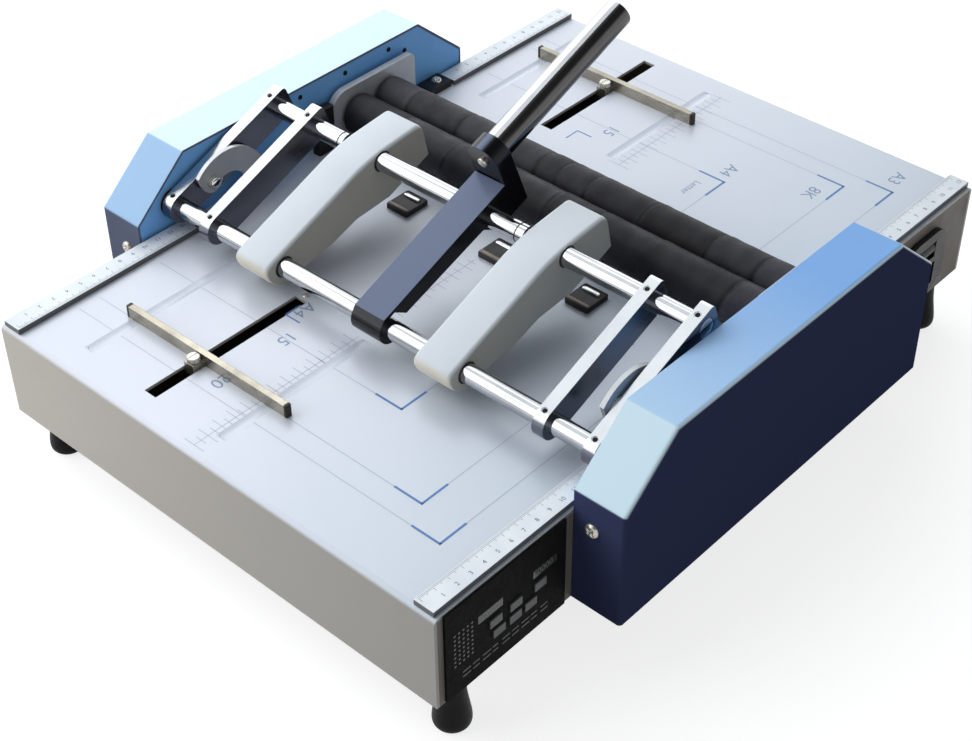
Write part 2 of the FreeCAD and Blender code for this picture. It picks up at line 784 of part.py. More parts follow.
for place, name in ((FRONT_ROLL, "front"), (REAR_ROLL, "rear")):
    shaft = body(name + "_roller_shaft")
    add(shaft, "YZ_Plane", "-shaft_left", "shaft_left+shaft_right",
        [(place, AXLE, "shaft_radius")])
    sleeve = body(name + "_roller_sleeve")
    add(sleeve, "YZ_Plane", "-roller_half", "2*roller_half", [(place, AXLE, "roller_radius")])
    cut(sleeve, "YZ_Plane", "-roller_half-over", "2*(roller_half+over)",
        [(place, AXLE, "shaft_radius+touch_gap")])


# ---- gears: toothed outlines worked out from module and tooth count ----
def involute(angle):
    return math.tan(angle) - angle


flank_steps = 5


def gear_points(teeth, module, tip, root, turn):
    pitch = module * teeth / 2
    pressure = math.radians(number("pressure_angle"))
    base = pitch * math.cos(pressure)
    half = math.pi / (2 * teeth) - number("backlash") / (2 * pitch)
    tip_radius = pitch + tip
    root_radius = pitch - root
    low = max(base, root_radius)
    flank = []
    for step in range(flank_steps + 1):
        radius = low + (tip_radius - low) * step / flank_steps
        lean = math.acos(min(1, base / radius))
        flank.append((radius, half + involute(pressure) - involute(lean)))
    points = []
    for tooth in range(teeth):
        centre = turn + 2 * math.pi * tooth / teeth
        left = [(root_radius, flank[0][1])] + flank
        for radius, offset in left:
            points.append((radius, centre - offset))
        for radius, offset in reversed(left):
            points.append((radius, centre + offset))
    return [(radius * math.cos(angle), radius * math.sin(angle)) for radius, angle in points]


def toothed(points, x, y, z, width, bore):
    corners = [Vector(x, y + across, z + upward) for across, upward in points]
    wire = Part.makePolygon(corners + [corners[0]])
    solid = Part.Face(wire).extrude(Vector(width, 0, 0))
    if bore:
        hole = Part.makeCylinder(bore, 3 * width, Vector(x - width, y, z), ALONG_X)
        solid = solid.cut(hole)
    return solid


def feature(label, shape):
    made = doc.addObject("Part::Feature", label)
    made.Label = label
    made.Shape = shape
    return made


module = number("gear_module")
turn = math.radians(number("drive_angle"))
axle_z = top_z + number("paper_gap") + number("roller_radius")
front_y = number("nip_y") - number("roller_radius") - number("roller_gap") / 2
rear_y = number("nip_y") + number("roller_radius") + number("roller_gap") / 2
roller_teeth = int(number("roller_teeth"))
idler_teeth = int(number("idler_teeth"))
motor_teeth = int(number("motor_teeth"))
gear_x = number("gear_start_x")
gear_width = number("gear_width")
# the two roller gears mesh with each other, so their module follows from the axle distance
pair_module = (rear_y - front_y) / roller_teeth
tip = number("gear_tip") * module
root = number("gear_root") * module
touch = number("touch_gap")


def meshed(first_phase, angle, first_teeth, second_teeth):
    # turn of the second gear that sets its gap on the first gear's tooth at this angle
    share = ((angle - first_phase) * first_teeth / (2 * math.pi)) % 1
    wanted = 0.5 - share
    return angle + math.pi - wanted * 2 * math.pi / second_teeth


feature("front_roller_gear", toothed(
    gear_points(roller_teeth, pair_module, tip, root, 0), gear_x, front_y, axle_z, gear_width,
    number("shaft_radius") + touch))
rear_turn = meshed(0, 0, roller_teeth, roller_teeth)
feature("rear_roller_gear", toothed(
    gear_points(roller_teeth, pair_module, tip, root, rear_turn), gear_x, rear_y, axle_z, gear_width,
    number("shaft_radius") + touch))
idler_turn = meshed(0, turn, roller_teeth, idler_teeth)
reach = module * (roller_teeth + idler_teeth) / 2
idler_y = front_y + reach * math.cos(turn)
idler_z = axle_z + reach * math.sin(turn)
feature("idler_gear", toothed(
    gear_points(idler_teeth, module, tip, root, idler_turn), gear_x, idler_y, idler_z, gear_width,
    number("idler_bore") + number("running_gap")))
motor_turn = meshed(idler_turn, turn, idler_teeth, motor_teeth)
reach = module * (roller_teeth + 2 * idler_teeth + motor_teeth) / 2
motor_y = front_y + reach * math.cos(turn)
motor_z = axle_z + reach * math.sin(turn)
motor_end = side_x - number("base_sheet")
pinion = toothed(gear_points(motor_teeth, module, tip, root, motor_turn),
                 gear_x, motor_y, motor_z, gear_width, 0)
shaft_from = motor_end - number("motor_shaft_in")
motor_shaft = Part.makeCylinder(number("motor_shaft"), gear_x - shaft_from,
                                Vector(shaft_from, motor_y, motor_z), ALONG_X)
feature("motor_pinion", pinion.fuse(motor_shaft).removeSplitter())

drive_motor = body("drive_motor")
motor_from = SIDE + "-base_sheet-motor_length"
add(drive_motor, "YZ_Plane", motor_from, "motor_length", [(MOTOR_Y, MOTOR_Z, "motor_radius")])
add(drive_motor, "YZ_Plane", SIDE + "-base_sheet", "base_sheet+wall_thick",
    [(MOTOR_Y, MOTOR_Z, "motor_boss")])
cut(drive_motor, "YZ_Plane", SIDE + "-base_sheet-motor_shaft_in-over",
    "base_sheet+wall_thick+motor_shaft_in+2*over",
    [(MOTOR_Y, MOTOR_Z, "motor_shaft+running_gap")])
soften(drive_motor, "base_sheet", lambda edge: len(edge.Vertexes) == 1
       and near(middle(edge).x, motor_end - number("motor_length")))

# ---- fold blade with two racks, its shaft, supports and motor ----
fold_blade = body("fold_blade")
blade_top = TOP + "-blade_below"
add(fold_blade, "YZ_Plane", "-blade_half", "2*blade_half",
    [("nip_y-blade_thick/2", "blade_low", "nip_y+blade_thick/2", blade_top)])
RACK_FACE = "(nip_y+blade_thick/2+rack_back)"
RACK_LINE = "(%s+rack_root)" % RACK_FACE
PINION_Y = "(%s+pinion_module*pinion_teeth/2)" % RACK_LINE
tooth_gap = math.pi * number("pinion_module")
teeth_below = int((number("pinion_z") - number("rack_low")) / tooth_gap - 0.5)
teeth_above = int((number("rack_high") - number("pinion_z")) / tooth_gap - 0.5)
half_tooth = "(pi*pinion_module/4-backlash/2)"
rack_teeth = []
for count in range(-teeth_below, teeth_above + 1):
    tooth_z = "(pinion_z+%d*pi*pinion_module)" % count
    foot = "(%s+rack_root*tan(pressure_angle*1deg))" % half_tooth
    peak = "(%s-rack_tip*tan(pressure_angle*1deg))" % half_tooth
    rack_teeth.append([
        (RACK_FACE, tooth_z + "-" + foot), (RACK_LINE + "+rack_tip", tooth_z + "-" + peak),
        (RACK_LINE + "+rack_tip", tooth_z + "+" + peak), (RACK_FACE, tooth_z + "+" + foot)])
for sign in ("-1", "1"):
    rack_start = "%s*rack_half_x-rack_width/2" % sign
    add(fold_blade, "YZ_Plane", rack_start, "rack_width",
        [("nip_y+blade_thick/2", "rack_low", RACK_FACE, "rack_high")])
    add(fold_blade, "YZ_Plane", rack_start, "rack_width", rack_teeth)

pinion_module = number("pinion_module")
pinion_teeth = int(number("pinion_teeth"))
rack_face = number("nip_y") + number("blade_thick") / 2 + number("rack_back")
pinion_y = rack_face + number("rack_root") + pinion_module * pinion_teeth / 2
shaft_shape = Part.makeCylinder(
    number("blade_shaft_radius"), number("blade_shaft_left") + number("blade_shaft_right"),
    Vector(-number("blade_shaft_left"), pinion_y, number("pinion_z")), ALONG_X)
pinion_turn = math.pi + math.pi / pinion_teeth
wheel_tip = number("pinion_tip") * pinion_module
wheel_root = number("pinion_root") * pinion_module
for sign in (-1, 1):
    wheel = toothed(gear_points(pinion_teeth, pinion_module, wheel_tip, wheel_root, pinion_turn),
                    sign * number("rack_half_x") - number("rack_width") / 2, pinion_y,
                    number("pinion_z"), number("rack_width"), 0)
    shaft_shape = shaft_shape.fuse(wheel)
feature("blade_shaft", shaft_shape.removeSplitter())

blade_supports = body("blade_supports")
for sign in ("-1", "1"):
    add(blade_supports, "YZ_Plane", "%s*block_half_x-block_thick/2" % sign, "block_thick",
        [(PINION_Y + "-block_half_y", inner_low, PINION_Y + "+block_half_y", "pinion_z+block_head")])
guide_span = ("blade_half-guide_overlap", "blade_half+guide_depth")
for sign, hand in mirrored:
    start, length = span(sign, *guide_span)
    add(blade_supports, "YZ_Plane", start, length,
        [("nip_y-guide_half_y", inner_low, "nip_y+guide_half_y", TOP + "-table_sheet-guide_head")])
cut(blade_supports, "YZ_Plane", "-block_half_x-block_thick", "2*(block_half_x+block_thick)",
    [(PINION_Y, "pinion_z", "blade_shaft_radius+running_gap")])
cut(blade_supports, "YZ_Plane", "-blade_half-running_gap", "2*(blade_half+running_gap)",
    [("nip_y-blade_thick/2-running_gap", inner_low + "+guide_floor",
      "nip_y+blade_thick/2+running_gap", TOP)])

blade_motor = body("blade_motor")
add(blade_motor, "YZ_Plane", "-blade_shaft_left-blade_motor_length+blade_motor_grip", "blade_motor_length",
    [(PINION_Y, "pinion_z", "blade_motor_radius")])
add(blade_motor, "YZ_Plane", "-blade_shaft_left-blade_motor_foot+blade_motor_grip", "blade_motor_foot",
    [(PINION_Y + "-blade_motor_radius", inner_low, PINION_Y + "+blade_motor_radius", "pinion_z")])
cut(blade_motor, "YZ_Plane", "-blade_shaft_left-over", "blade_motor_length",
    [(PINION_Y, "pinion_z", "blade_shaft_radius+running_gap")])

# ---- press frame: two rods joined by four flat bars, hinged on the front rod ----
front_rod = tilted("front_rod")
add(front_rod, "YZ_Plane", "-front_rod_half", "2*front_rod_half", [("0", "0", "rod_radius")])
rear_rod = tilted("rear_rod")
rear_rod_half = "(outer_bar_x+bar_thick/2)"
add(rear_rod, "YZ_Plane", "-" + rear_rod_half, "2*" + rear_rod_half,
    [("rod_spacing", "0", "rod_radius")])

for name, place in (("inner_bars", "inner_bar_x"), ("outer_bars", "outer_bar_x")):
    bars = tilted(name)
    for sign in ("-1", "1"):
        start = "%s*%s-bar_thick/2" % (sign, place)
        add(bars, "YZ_Plane", start, "bar_thick", [("0", "0", "bar_height/2")])
        add(bars, "YZ_Plane", start, "bar_thick",
            [("0", "-bar_height/2", "rod_spacing+bar_tail", "bar_height/2")])

    def bar_ends(edge):
        spot = middle(edge)
        return runs_along(edge, ALONG_X) and near(spot.y, number("rod_spacing") + number("bar_tail"))

    soften(bars, "bar_corner", bar_ends)
    hole_start = "-(%s+bar_thick)" % place
    cut(bars, "YZ_Plane", hole_start, "2*(%s+bar_thick)" % place,
        [("0", "0", "rod_radius+touch_gap"), ("rod_spacing", "0", "rod_radius+touch_gap")])
    holes = []
    for sign in ("-1", "1"):
        for along in ("0", "rod_spacing"):
            holes.append(("%s*%s" % (sign, place), along, "set_screw_radius+touch_gap"))
    cut(bars, "XY_Plane", "rod_radius-over", "bar_height", holes)

bar_screws = tilted("bar_screws")
grubs = []
for place in ("inner_bar_x", "outer_bar_x"):
    for sign in ("-1", "1"):
        for along in ("0", "rod_spacing"):
            grubs.append(("%s*%s" % (sign, place), along, "set_screw_radius"))
add(bar_screws, "XY_Plane", "rod_radius+touch_gap",
    "bar_height/2-rod_radius-touch_gap-set_screw_sink", grubs)

# ---- torsion springs on the ends of the front rod, inside the covers ----
coils = []
wire = number("spring_wire")
coil_radius = number("rod_radius") + number("spring_clear") + wire
coil_height = number("spring_pitch") * number("spring_turns")
hinge_z = top_z + number("hinge_rise")
for sign in (-1, 1):
    helix = Part.makeHelix(number("spring_pitch"), coil_height, coil_radius)
    ring = Part.Wire(Part.makeCircle(wire, Vector(coil_radius, 0, 0), Vector(0, 1, 0)))
    coil = Part.Wire(helix.Edges).makePipeShell([ring], True, True)
    coil.Placement = Placement(
        Vector(sign * (side_x + number("journal_length") + wire), number("hinge_y"), hinge_z),
        Rotation(Vector(0, 1, 0), 90 * sign))
    coils.append(coil)
feature("torsion_springs", Part.makeCompound(coils))

# ---- curved stop arms on the outer bars; their hooks catch under the front table ----
for sign, hand in mirrored:
    arm = tilted(hand + "_curved_arm")
    start, length = span(sign, "outer_bar_x-bar_thick/2-curve_gap-curve_thick",
                         "outer_bar_x-bar_thick/2-curve_gap")
    add(arm, "YZ_Plane", start, length, [("curve_u", "curve_w", "curve_outer")])
    long_start, long_length = span(sign, "outer_bar_x-bar_thick-curve_gap-curve_thick",
                                   "outer_bar_x-curve_gap")
    cut(arm, "YZ_Plane", long_start, long_length, [("curve_u", "curve_w", "curve_inner")])
    lean = "2*curve_outer"
    cut(arm, "YZ_Plane", long_start, long_length, [[
        ("curve_u-" + lean, "curve_w+" + lean), ("curve_bolt_u-curve_lobe", "curve_w+" + lean),
        ("curve_bolt_u-curve_lobe", "curve_bolt_w"), ("curve_u", "curve_w"),
        ("curve_u+curve_inner", "curve_w-curve_end"), ("curve_u+" + lean, "curve_w-curve_end"),
        ("curve_u+" + lean, "curve_w-" + lean), ("curve_u-" + lean, "curve_w-" + lean)]])
    reach_y = "(curve_tail_front-hinge_y)"
    back_y = "(curve_tail_back-hinge_y)"
    hook_y = "(curve_hook-hinge_y)"

    def local(across, height):
        # a point fixed to the table, in the tilted drawing plane
        rise = "(%s-hinge_rise)" % height
        forward = "(%s)*cos(tilt*1deg)+%s*sin(tilt*1deg)" % (across, rise)
        upward = "%s*cos(tilt*1deg)-(%s)*sin(tilt*1deg)" % (rise, across)
        return forward, upward

    under = "(-table_sheet-curve_hook_gap)"
    low = "(%s-curve_hook_low)" % under
    add(arm, "YZ_Plane", start, length, [[
        local(reach_y, "hinge_rise"), local(reach_y + "+curve_tail_low", "hinge_rise+curve_tail_low"),
        local(back_y, "hinge_rise+curve_tail_high"),
        local(back_y, under), local(hook_y, under), local(hook_y, under + "-curve_thick"),
        local(back_y, low), local(reach_y, low)]])
    add(arm, "YZ_Plane", start, length, [("curve_bolt_u", "curve_bolt_w", "curve_lobe")])
    cut(arm, "YZ_Plane", long_start, long_length,
        [("curve_bolt_u", "curve_bolt_w", "curve_bolt_radius+touch_gap")])
outer_bars = doc.getObject("outer_bars")
cut(outer_bars, "YZ_Plane", "-(outer_bar_x+bar_thick)", "2*(outer_bar_x+bar_thick)",
    [("curve_bolt_u", "curve_bolt_w", "curve_bolt_radius+touch_gap")])

curved_arm_bolts = tilted("curved_arm_bolts")
for sign, hand in mirrored:
    inner_face = "outer_bar_x-bar_thick/2"
    start, length = span(sign, inner_face + "-curve_gap-curve_thick-curve_head",
                         inner_face + "-curve_gap-curve_thick")
    add(curved_arm_bolts, "YZ_Plane", start, length,
        [("curve_bolt_u", "curve_bolt_w", "curve_head_radius")])
    start, length = span(sign, inner_face + "-curve_gap-curve_thick-touch_gap", "outer_bar_x")
    add(curved_arm_bolts, "YZ_Plane", start, length,
        [("curve_bolt_u", "curve_bolt_w", "curve_bolt_radius")])
    start, length = span(sign, inner_face + "-curve_gap", inner_face)
    add(curved_arm_bolts, "YZ_Plane", start, length,
        [("curve_bolt_u", "curve_bolt_w", "curve_washer")])

# ---- the two staple arms: rounded shells open below, each with a staple head ----
arm_outline = [
    ("-arm_front", "arm_chin_w+arm_nose_round"), ("-arm_front", "arm_top"),
    ("arm_bend_u", "arm_top"), ("arm_end_u", "arm_end_w"), ("arm_heel_u", "arm_heel_w"),
    ("arm_neck_u", "arm_heel_w"), ("arm_mid_u", "arm_mid_w"), ("arm_low_u", "arm_low_w"),
    ("arm_chin_u", "arm_chin_w"), ("-arm_front+arm_nose_round", "arm_chin_w")]
staple_heads = tilted("staple_heads")
for hand in ("left", "right"):
    place = hand + "_arm_x"
    arm = tilted(hand + "_staple_arm")
    start = place + "-arm_width/2"
    add(arm, "YZ_Plane", start, "arm_width", [arm_outline])

    def nose(edge):
        spot = middle(edge)
        return near(spot.y, -number("arm_front")) and near(spot.z, number("arm_top"))

    soften(arm, "arm_nose_round", nose)

    def upper_rim(edge):
        spot = middle(edge)
        on_side = near(abs(spot.x - number(place)), number("arm_width") / 2)
        return on_side and spot.z > number("arm_end_w")

    soften(arm, "arm_edge_round", upper_rim)
    cut(arm, "YZ_Plane", start + "+arm_wall", "arm_width-2*arm_wall", [[
        ("-arm_front+arm_nose_wall", "arm_heel_w-arm_open"),
        ("-arm_front+arm_nose_wall", "arm_top-2*arm_wall"),
        ("-arm_front+arm_nose_run", "arm_top-arm_wall"), ("arm_bend_u-arm_bend_wall", "arm_top-arm_wall"),
        ("arm_end_u-arm_end_wall", "arm_end_w-arm_wall/2"),
        ("arm_heel_u-arm_heel_wall", "arm_heel_w-arm_open")]])
    cut(arm, "YZ_Plane", start + "-over", "arm_width+2*over",
        [("0", "0", "rod_radius+touch_gap"), ("rod_spacing", "0", "rod_radius+touch_gap")])
    add(staple_heads, "YZ_Plane", start + "+arm_wall+head_side", "arm_width-2*(arm_wall+head_side)", [[
        ("head_front", "head_top"), ("head_front", "arm_heel_w+arm_wall"),
        ("head_step", "head_low_front"), ("head_back", "head_low_back"),
        ("head_back", "head_top-arm_top")]])
cut(staple_heads, "YZ_Plane", "left_arm_x-arm_width", "right_arm_x-left_arm_x+2*arm_width",
    [("rod_spacing", "0", "rod_radius+touch_gap")])

clinch_blocks = body("clinch_blocks")
plates = []
bars = []
for place in ("clinch_left_x", "clinch_mid_x", "clinch_right_x"):
    plates.append((place + "-clinch_width/2", "clinch_y-clinch_length/2",
                   place + "+clinch_width/2", "clinch_y+clinch_length/2"))
    bars.append((place + "-clinch_bar/2", "clinch_y+clinch_bar_in",
                 place + "+clinch_bar/2", "clinch_y+clinch_bar_in+clinch_bar_depth"))
add(clinch_blocks, "XY_Plane", TOP, "clinch_height", plates)
cut(clinch_blocks, "XY_Plane", TOP + "+clinch_height-clinch_sink", "clinch_sink*2", bars)

# ---- lever: channel hooked over the front rod, with a round socket for the handle tube ----
lever = tilted("lever", "lever_x")
side_face = [
    ("lever_notch", "lever_top"), ("lever_plate_end", "lever_top"), ("lever_plate_end", "tube_w"),
    ("lever_end", "tube_w"), ("lever_end", "lever_heel"), ("lever_end-lever_heel_long", "lever_heel"),
    ("rod_spacing-lever_waist", "lever_belly"), ("lever_throat", "lever_throat_low"),
    ("lever_notch", "lever_top-lever_sheet")]
for start in ("-lever_width/2", "lever_width/2-lever_sheet"):
    add(lever, "YZ_Plane", start, "lever_sheet", [side_face])
add(lever, "YZ_Plane", "-lever_width/2", "lever_width", [
    ("-lever_brow", "lever_top-lever_sheet", "lever_plate_end", "lever_top"),
    ("lever_plate_end", "socket_low", "lever_end", "tube_w")])
add(lever, "YZ_Plane", "-lever_width/2", "lever_width", [("0", "0", "lever_nose")])
add(lever, "YZ_Plane", "-lever_width/2", "lever_width", [[
    ("-lever_brow_in", "lever_top-lever_sheet"), ("-lever_brow", "lever_top"),
    ("lever_hook", "lever_top"), ("lever_hook", "lever_nose/2")]])
add(lever, "XZ_Plane", "lever_plate_end", "lever_end-lever_plate_end",
    [("0", "tube_w", "lever_width/2")])
cut(lever, "YZ_Plane", "-lever_width", "2*lever_width", [[
    ("lever_hook", "-lever_nose-over"), ("lever_hook", "lever_top-lever_sheet"),
    ("lever_notch", "lever_top-lever_sheet"), ("lever_throat", "lever_throat_low"),
    ("lever_throat", "-lever_nose-over")]])
cut(lever, "YZ_Plane", "-lever_width", "2*lever_width",
    [("0", "0", "rod_radius+touch_gap"), ("rod_spacing", "0", "rod_radius+touch_gap")])
cut(lever, "XZ_Plane", "lever_plate_end+lever_sheet", "lever_end-lever_plate_end",
    [("0", "tube_w", "tube_radius+touch_gap")])
cut(lever, "XZ_Plane", "lever_plate_end-over", "lever_sheet+2*over",
    [("0", "tube_w", "handle_screw_core+touch_gap")])

handle_tube = tilted("handle_tube", "lever_x")
add(handle_tube, "XZ_Plane", "tube_start", "tube_end-tube_start", [("0", "tube_w", "tube_radius")])
soften(handle_tube, "tube_edge", lambda edge: near(middle(edge).y, number("tube_end")))
cut(handle_tube, "XZ_Plane", "tube_start+tube_plug", "tube_end-tube_start-tube_plug-over",
    [("0", "tube_w", "tube_bore")])
cut(handle_tube, "XZ_Plane", "tube_start-over", "tube_plug+2*over",
    [("0", "tube_w", "handle_screw_core+touch_gap")])
handle_screw = tilted("handle_screw", "lever_x")
add(handle_screw, "XZ_Plane", "lever_plate_end-handle_screw_head", "handle_screw_head",
    [("0", "tube_w", "handle_screw_radius")])
screw_front = number("lever_plate_end") - number("handle_screw_head")
soften(handle_screw, "handle_screw_head/2", lambda edge: near(middle(edge).y, screw_front))
add(handle_screw, "XZ_Plane", "lever_plate_end", "lever_sheet+touch_gap+tube_plug",
    [("0", "tube_w", "handle_screw_core")])

# ---- paper stops: a bar on each table, a clamp screw and a slider under the slot ----
for name in ("front", "rear"):
    stop = body(name + "_stop_bar")
    left = "%s_stop_x-stop_length/2" % name
    near_y = "%s_stop_y-stop_thick/2" % name
    slot_x = name + "_slot_x"
    boss_y = near_y + "-stop_boss"
    lifted = TOP + "+stop_lift"
    add(stop, "XY_Plane", lifted, "stop_height", [
        (left, near_y, left + "+stop_length", near_y + "+stop_thick")])
    add(stop, "XY_Plane", lifted, "stop_boss_height", [
        (slot_x + "-stop_boss/2", boss_y, slot_x + "+stop_boss/2", near_y)])
    neck = "stop_slot_width/2-stop_slot_side"
    add(stop, "XY_Plane", TOP + "-table_sheet-stop_lift", "table_sheet+2*stop_lift", [
        (slot_x + "-(" + neck + ")", boss_y, slot_x + "+" + neck, near_y + "+stop_thick")])
    add(stop, "XY_Plane", TOP + "-table_sheet-stop_lift-stop_under", "stop_under", [
        (slot_x + "-stop_under_half", boss_y, slot_x + "+stop_under_half", near_y + "+stop_thick")])
    add(stop, "XY_Plane", TOP + "-groove_depth+stop_lift", "groove_depth", [
        (name + "_groove_left", name + "_stop_y", "groove_pin"),
        (name + "_groove_right", name + "_stop_y", "groove_pin")])
    cut(stop, "XY_Plane", TOP + "-table_sheet-stop_under-over", "stop_height+stop_boss_height+over",
        [(slot_x, near_y + "-stop_boss/2", "stop_screw_core+running_gap")])
    screw = body(name + "_stop_screw")
    add(screw, "XY_Plane", TOP + "-table_sheet-stop_under",
        "table_sheet+stop_under+stop_boss_height+stop_lift*2",
        [(slot_x, near_y + "-stop_boss/2", "stop_screw_core")])
    add(screw, "XY_Plane", lifted + "+stop_boss_height+stop_lift", "stop_screw_height",
        [(slot_x, near_y + "-stop_boss/2", "stop_screw_radius")])

# ---- black brackets behind the end plates, and the bright screws on the table ----
table_brackets = body("table_brackets")
for sign, hand in mirrored:
    start, length = span(sign, SIDE + "-bracket_width-cover_sheet", SIDE + "-cover_sheet")
    add(table_brackets, "YZ_Plane", start, length,
        [("bracket_y", TOP, "bracket_y+bracket_length", TOP + "+bracket_height")])
bracket_x = "(base_width/2-cover_sheet-bracket_width/2)"
bracket_mid = "bracket_y+bracket_hole"
cut(table_brackets, "XY_Plane", TOP, "bracket_height+over", [
    ("-" + bracket_x, bracket_mid, "screw_core+touch_gap"),
    (bracket_x, bracket_mid, "screw_core+touch_gap")])
table_screws = body("table_screws")
add(table_screws, "XY_Plane", TOP, "bracket_height", [
    ("-" + bracket_x, bracket_mid, "screw_core"), (bracket_x, bracket_mid, "screw_core")])
add(table_screws, "XY_Plane", TOP + "+bracket_height", "cover_screw_head", [
    ("-" + bracket_x, bracket_mid, "table_screw_radius"),
    (bracket_x, bracket_mid, "table_screw_radius")])
add(table_screws, "XY_Plane", TOP, "table_screw_head",
    [("front_slot_x", "front_slot_far+table_screw_in", "wall_screw_radius")])

# ---- control panel, displays, keys and board ----
control_panel = body("control_panel")
add(control_panel, "YZ_Plane", SIDE, "panel_thick",
    [("panel_front", "panel_low", "panel_back", "panel_high")])
display_spots = [("display_left_y", "panel_row_one"), ("display_right_y", "panel_row_one")]
key_spots = [("key_a", "key_a_y", "panel_row_two"), ("key_b", "key_b_y", "panel_row_two"),
             ("key_c", "key_c_y", "panel_row_two"), ("key_d", "key_d_y", "panel_row_three"),
             ("key_e", "key_e_y", "panel_row_three"), ("key_f", "key_f_y", "panel_row_three")]


def box_at(y, z, width, height, grow):
    return ("%s-(%s)/2-%s" % (y, width, grow), "%s-(%s)/2-%s" % (z, height, grow),
            "%s+(%s)/2+%s" % (y, width, grow), "%s+(%s)/2+%s" % (z, height, grow))


openings = [box_at(y, z, "display_width", "display_height", "touch_gap") for y, z in display_spots]
openings += [box_at(y, z, "key_width", "key_height", "key_side") for label, y, z in key_spots]
cut(control_panel, "YZ_Plane", SIDE + "-over", "panel_thick+2*over", openings)
displays = body("displays")
add(displays, "YZ_Plane", SIDE + "+touch_gap", "panel_thick-display_sink",
    [box_at(y, z, "display_width", "display_height", "0") for y, z in display_spots])
for label, y, z in key_spots:
    key = body(label)
    add(key, "YZ_Plane", SIDE, "panel_thick+key_proud",
        [box_at(y, z, "key_width", "key_height", "0")])
    add(key, "YZ_Plane", SIDE + "-key_flange", "key_flange-touch_gap",
        [box_at(y, z, "key_width", "key_height", "key_rim")])
    add(key, "YZ_Plane", SIDE + "-key_flange/2", "key_flange",
        [box_at(y, z, "key_width", "key_height", "0")])
    stem_from = "board_x+board_thick+switch_tall+key_travel_gap"
    add(key, "YZ_Plane", stem_from, SIDE + "-key_flange/2-(" + stem_from + ")", [(y, z, "key_stem")])
circuit_board = body("circuit_board")
add(circuit_board, "YZ_Plane", "board_x", "board_thick",
    [("panel_front+window_margin", "board_low", "panel_back-window_margin", "board_high")])
add(circuit_board, "YZ_Plane", "board_x+board_thick", "switch_tall",
    [box_at(y, z, "switch_wide", "key_height", "0") for label, y, z in key_spots])
add(circuit_board, "YZ_Plane", "board_x-post_depth", "post_depth", [
    ("panel_front+window_margin", inner_low, "panel_front+window_margin+post_width", "board_high"),
    ("panel_back-window_margin-post_width", inner_low, "panel_back-window_margin", "board_high")])

# ---- power inlet with a rocker switch, low at the right rear ----
power_inlet = body("power_inlet")
add(power_inlet, "YZ_Plane", SIDE, "inlet_rim",
    [box_at("inlet_y", "inlet_z", "inlet_size", "inlet_size", "0")])
soften(power_inlet, "inlet_round", lambda edge: runs_along(edge, ALONG_X))
add(power_inlet, "YZ_Plane", SIDE + "-inlet_depth", "inlet_depth",
    [box_at("inlet_y", "inlet_z", "inlet_body", "inlet_body", "0")])
cut(power_inlet, "YZ_Plane", SIDE + "+inlet_rim-socket_depth", "socket_depth+over",
    [box_at("inlet_y", "inlet_z+socket_up", "socket_width", "socket_height", "0"),
     box_at("inlet_y", "inlet_z+rocker_up", "rocker_length", "rocker_width", "key_side")])
contacts = [("inlet_y-contact_spread", "inlet_z+socket_up-contact_low"),
            ("inlet_y+contact_spread", "inlet_z+socket_up-contact_low"),
            ("inlet_y", "inlet_z+socket_up+contact_high")]
add(power_inlet, "YZ_Plane", SIDE + "+inlet_rim-socket_depth-over", "contact_length+over",
    [box_at(y, z, "contact_thick", "contact_tall", "0") for y, z in contacts])
power_switch = body("power_switch")
hub_x = SIDE + "+inlet_rim-rocker_width/2"
add(power_switch, "XZ_Plane", "inlet_y-rocker_length/2", "rocker_length",
    [(hub_x, "inlet_z+rocker_up", "rocker_width/2-key_side")])

doc.recompute()
for item in doc.Objects:
    if "Invalid" in item.State or "Error" in item.State:
        raise ValueError("%s is %s" % (item.Name, item.State))
os.makedirs("parts", exist_ok=True)
pieces = [item for item in doc.Objects if item.TypeId in ("PartDesign::Body", "Part::Feature")]
for item in pieces:
    if item.Shape.isNull() or not item.Shape.isValid():
        raise ValueError(item.Label + " has no valid shape")
for item in pieces:
    item.Shape.exportStep("parts/%s.step" % item.Label)
    box = item.Shape.BoundBox
    print("%-22s solids %d  x %.1f..%.1f  y %.1f..%.1f  z %.1f..%.1f" % (
        item.Label, len(item.Shape.Solids), box.XMin, box.XMax, box.YMin, box.YMax,
        box.ZMin, box.ZMax))
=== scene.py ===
import json
import math
import bmesh
import bpy
import numpy as np
from mathutils import Matrix, Vector


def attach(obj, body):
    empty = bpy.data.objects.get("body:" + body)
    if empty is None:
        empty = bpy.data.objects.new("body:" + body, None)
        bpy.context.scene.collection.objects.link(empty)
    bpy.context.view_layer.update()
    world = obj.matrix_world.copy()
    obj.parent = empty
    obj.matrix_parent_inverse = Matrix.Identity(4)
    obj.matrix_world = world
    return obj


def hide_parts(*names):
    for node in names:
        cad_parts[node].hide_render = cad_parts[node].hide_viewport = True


# Desktop machine that staples and folds paper; x along the rollers, y to the back, z up.
# The camera, the paints' places and the lamps are in metres, the pieces in millimetres.
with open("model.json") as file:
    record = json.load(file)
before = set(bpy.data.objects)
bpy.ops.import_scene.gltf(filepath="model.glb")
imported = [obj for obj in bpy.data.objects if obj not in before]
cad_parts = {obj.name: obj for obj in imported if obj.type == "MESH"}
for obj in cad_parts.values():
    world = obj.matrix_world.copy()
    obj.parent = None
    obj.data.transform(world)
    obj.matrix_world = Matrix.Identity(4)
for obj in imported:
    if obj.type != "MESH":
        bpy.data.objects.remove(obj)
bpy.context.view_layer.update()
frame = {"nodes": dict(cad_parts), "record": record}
millimetre = 0.001


def addObject(name, data):
    # an object of this data, linked into the scene
    made = bpy.data.objects.new(name, data)
    bpy.context.scene.collection.objects.link(made)
    return made


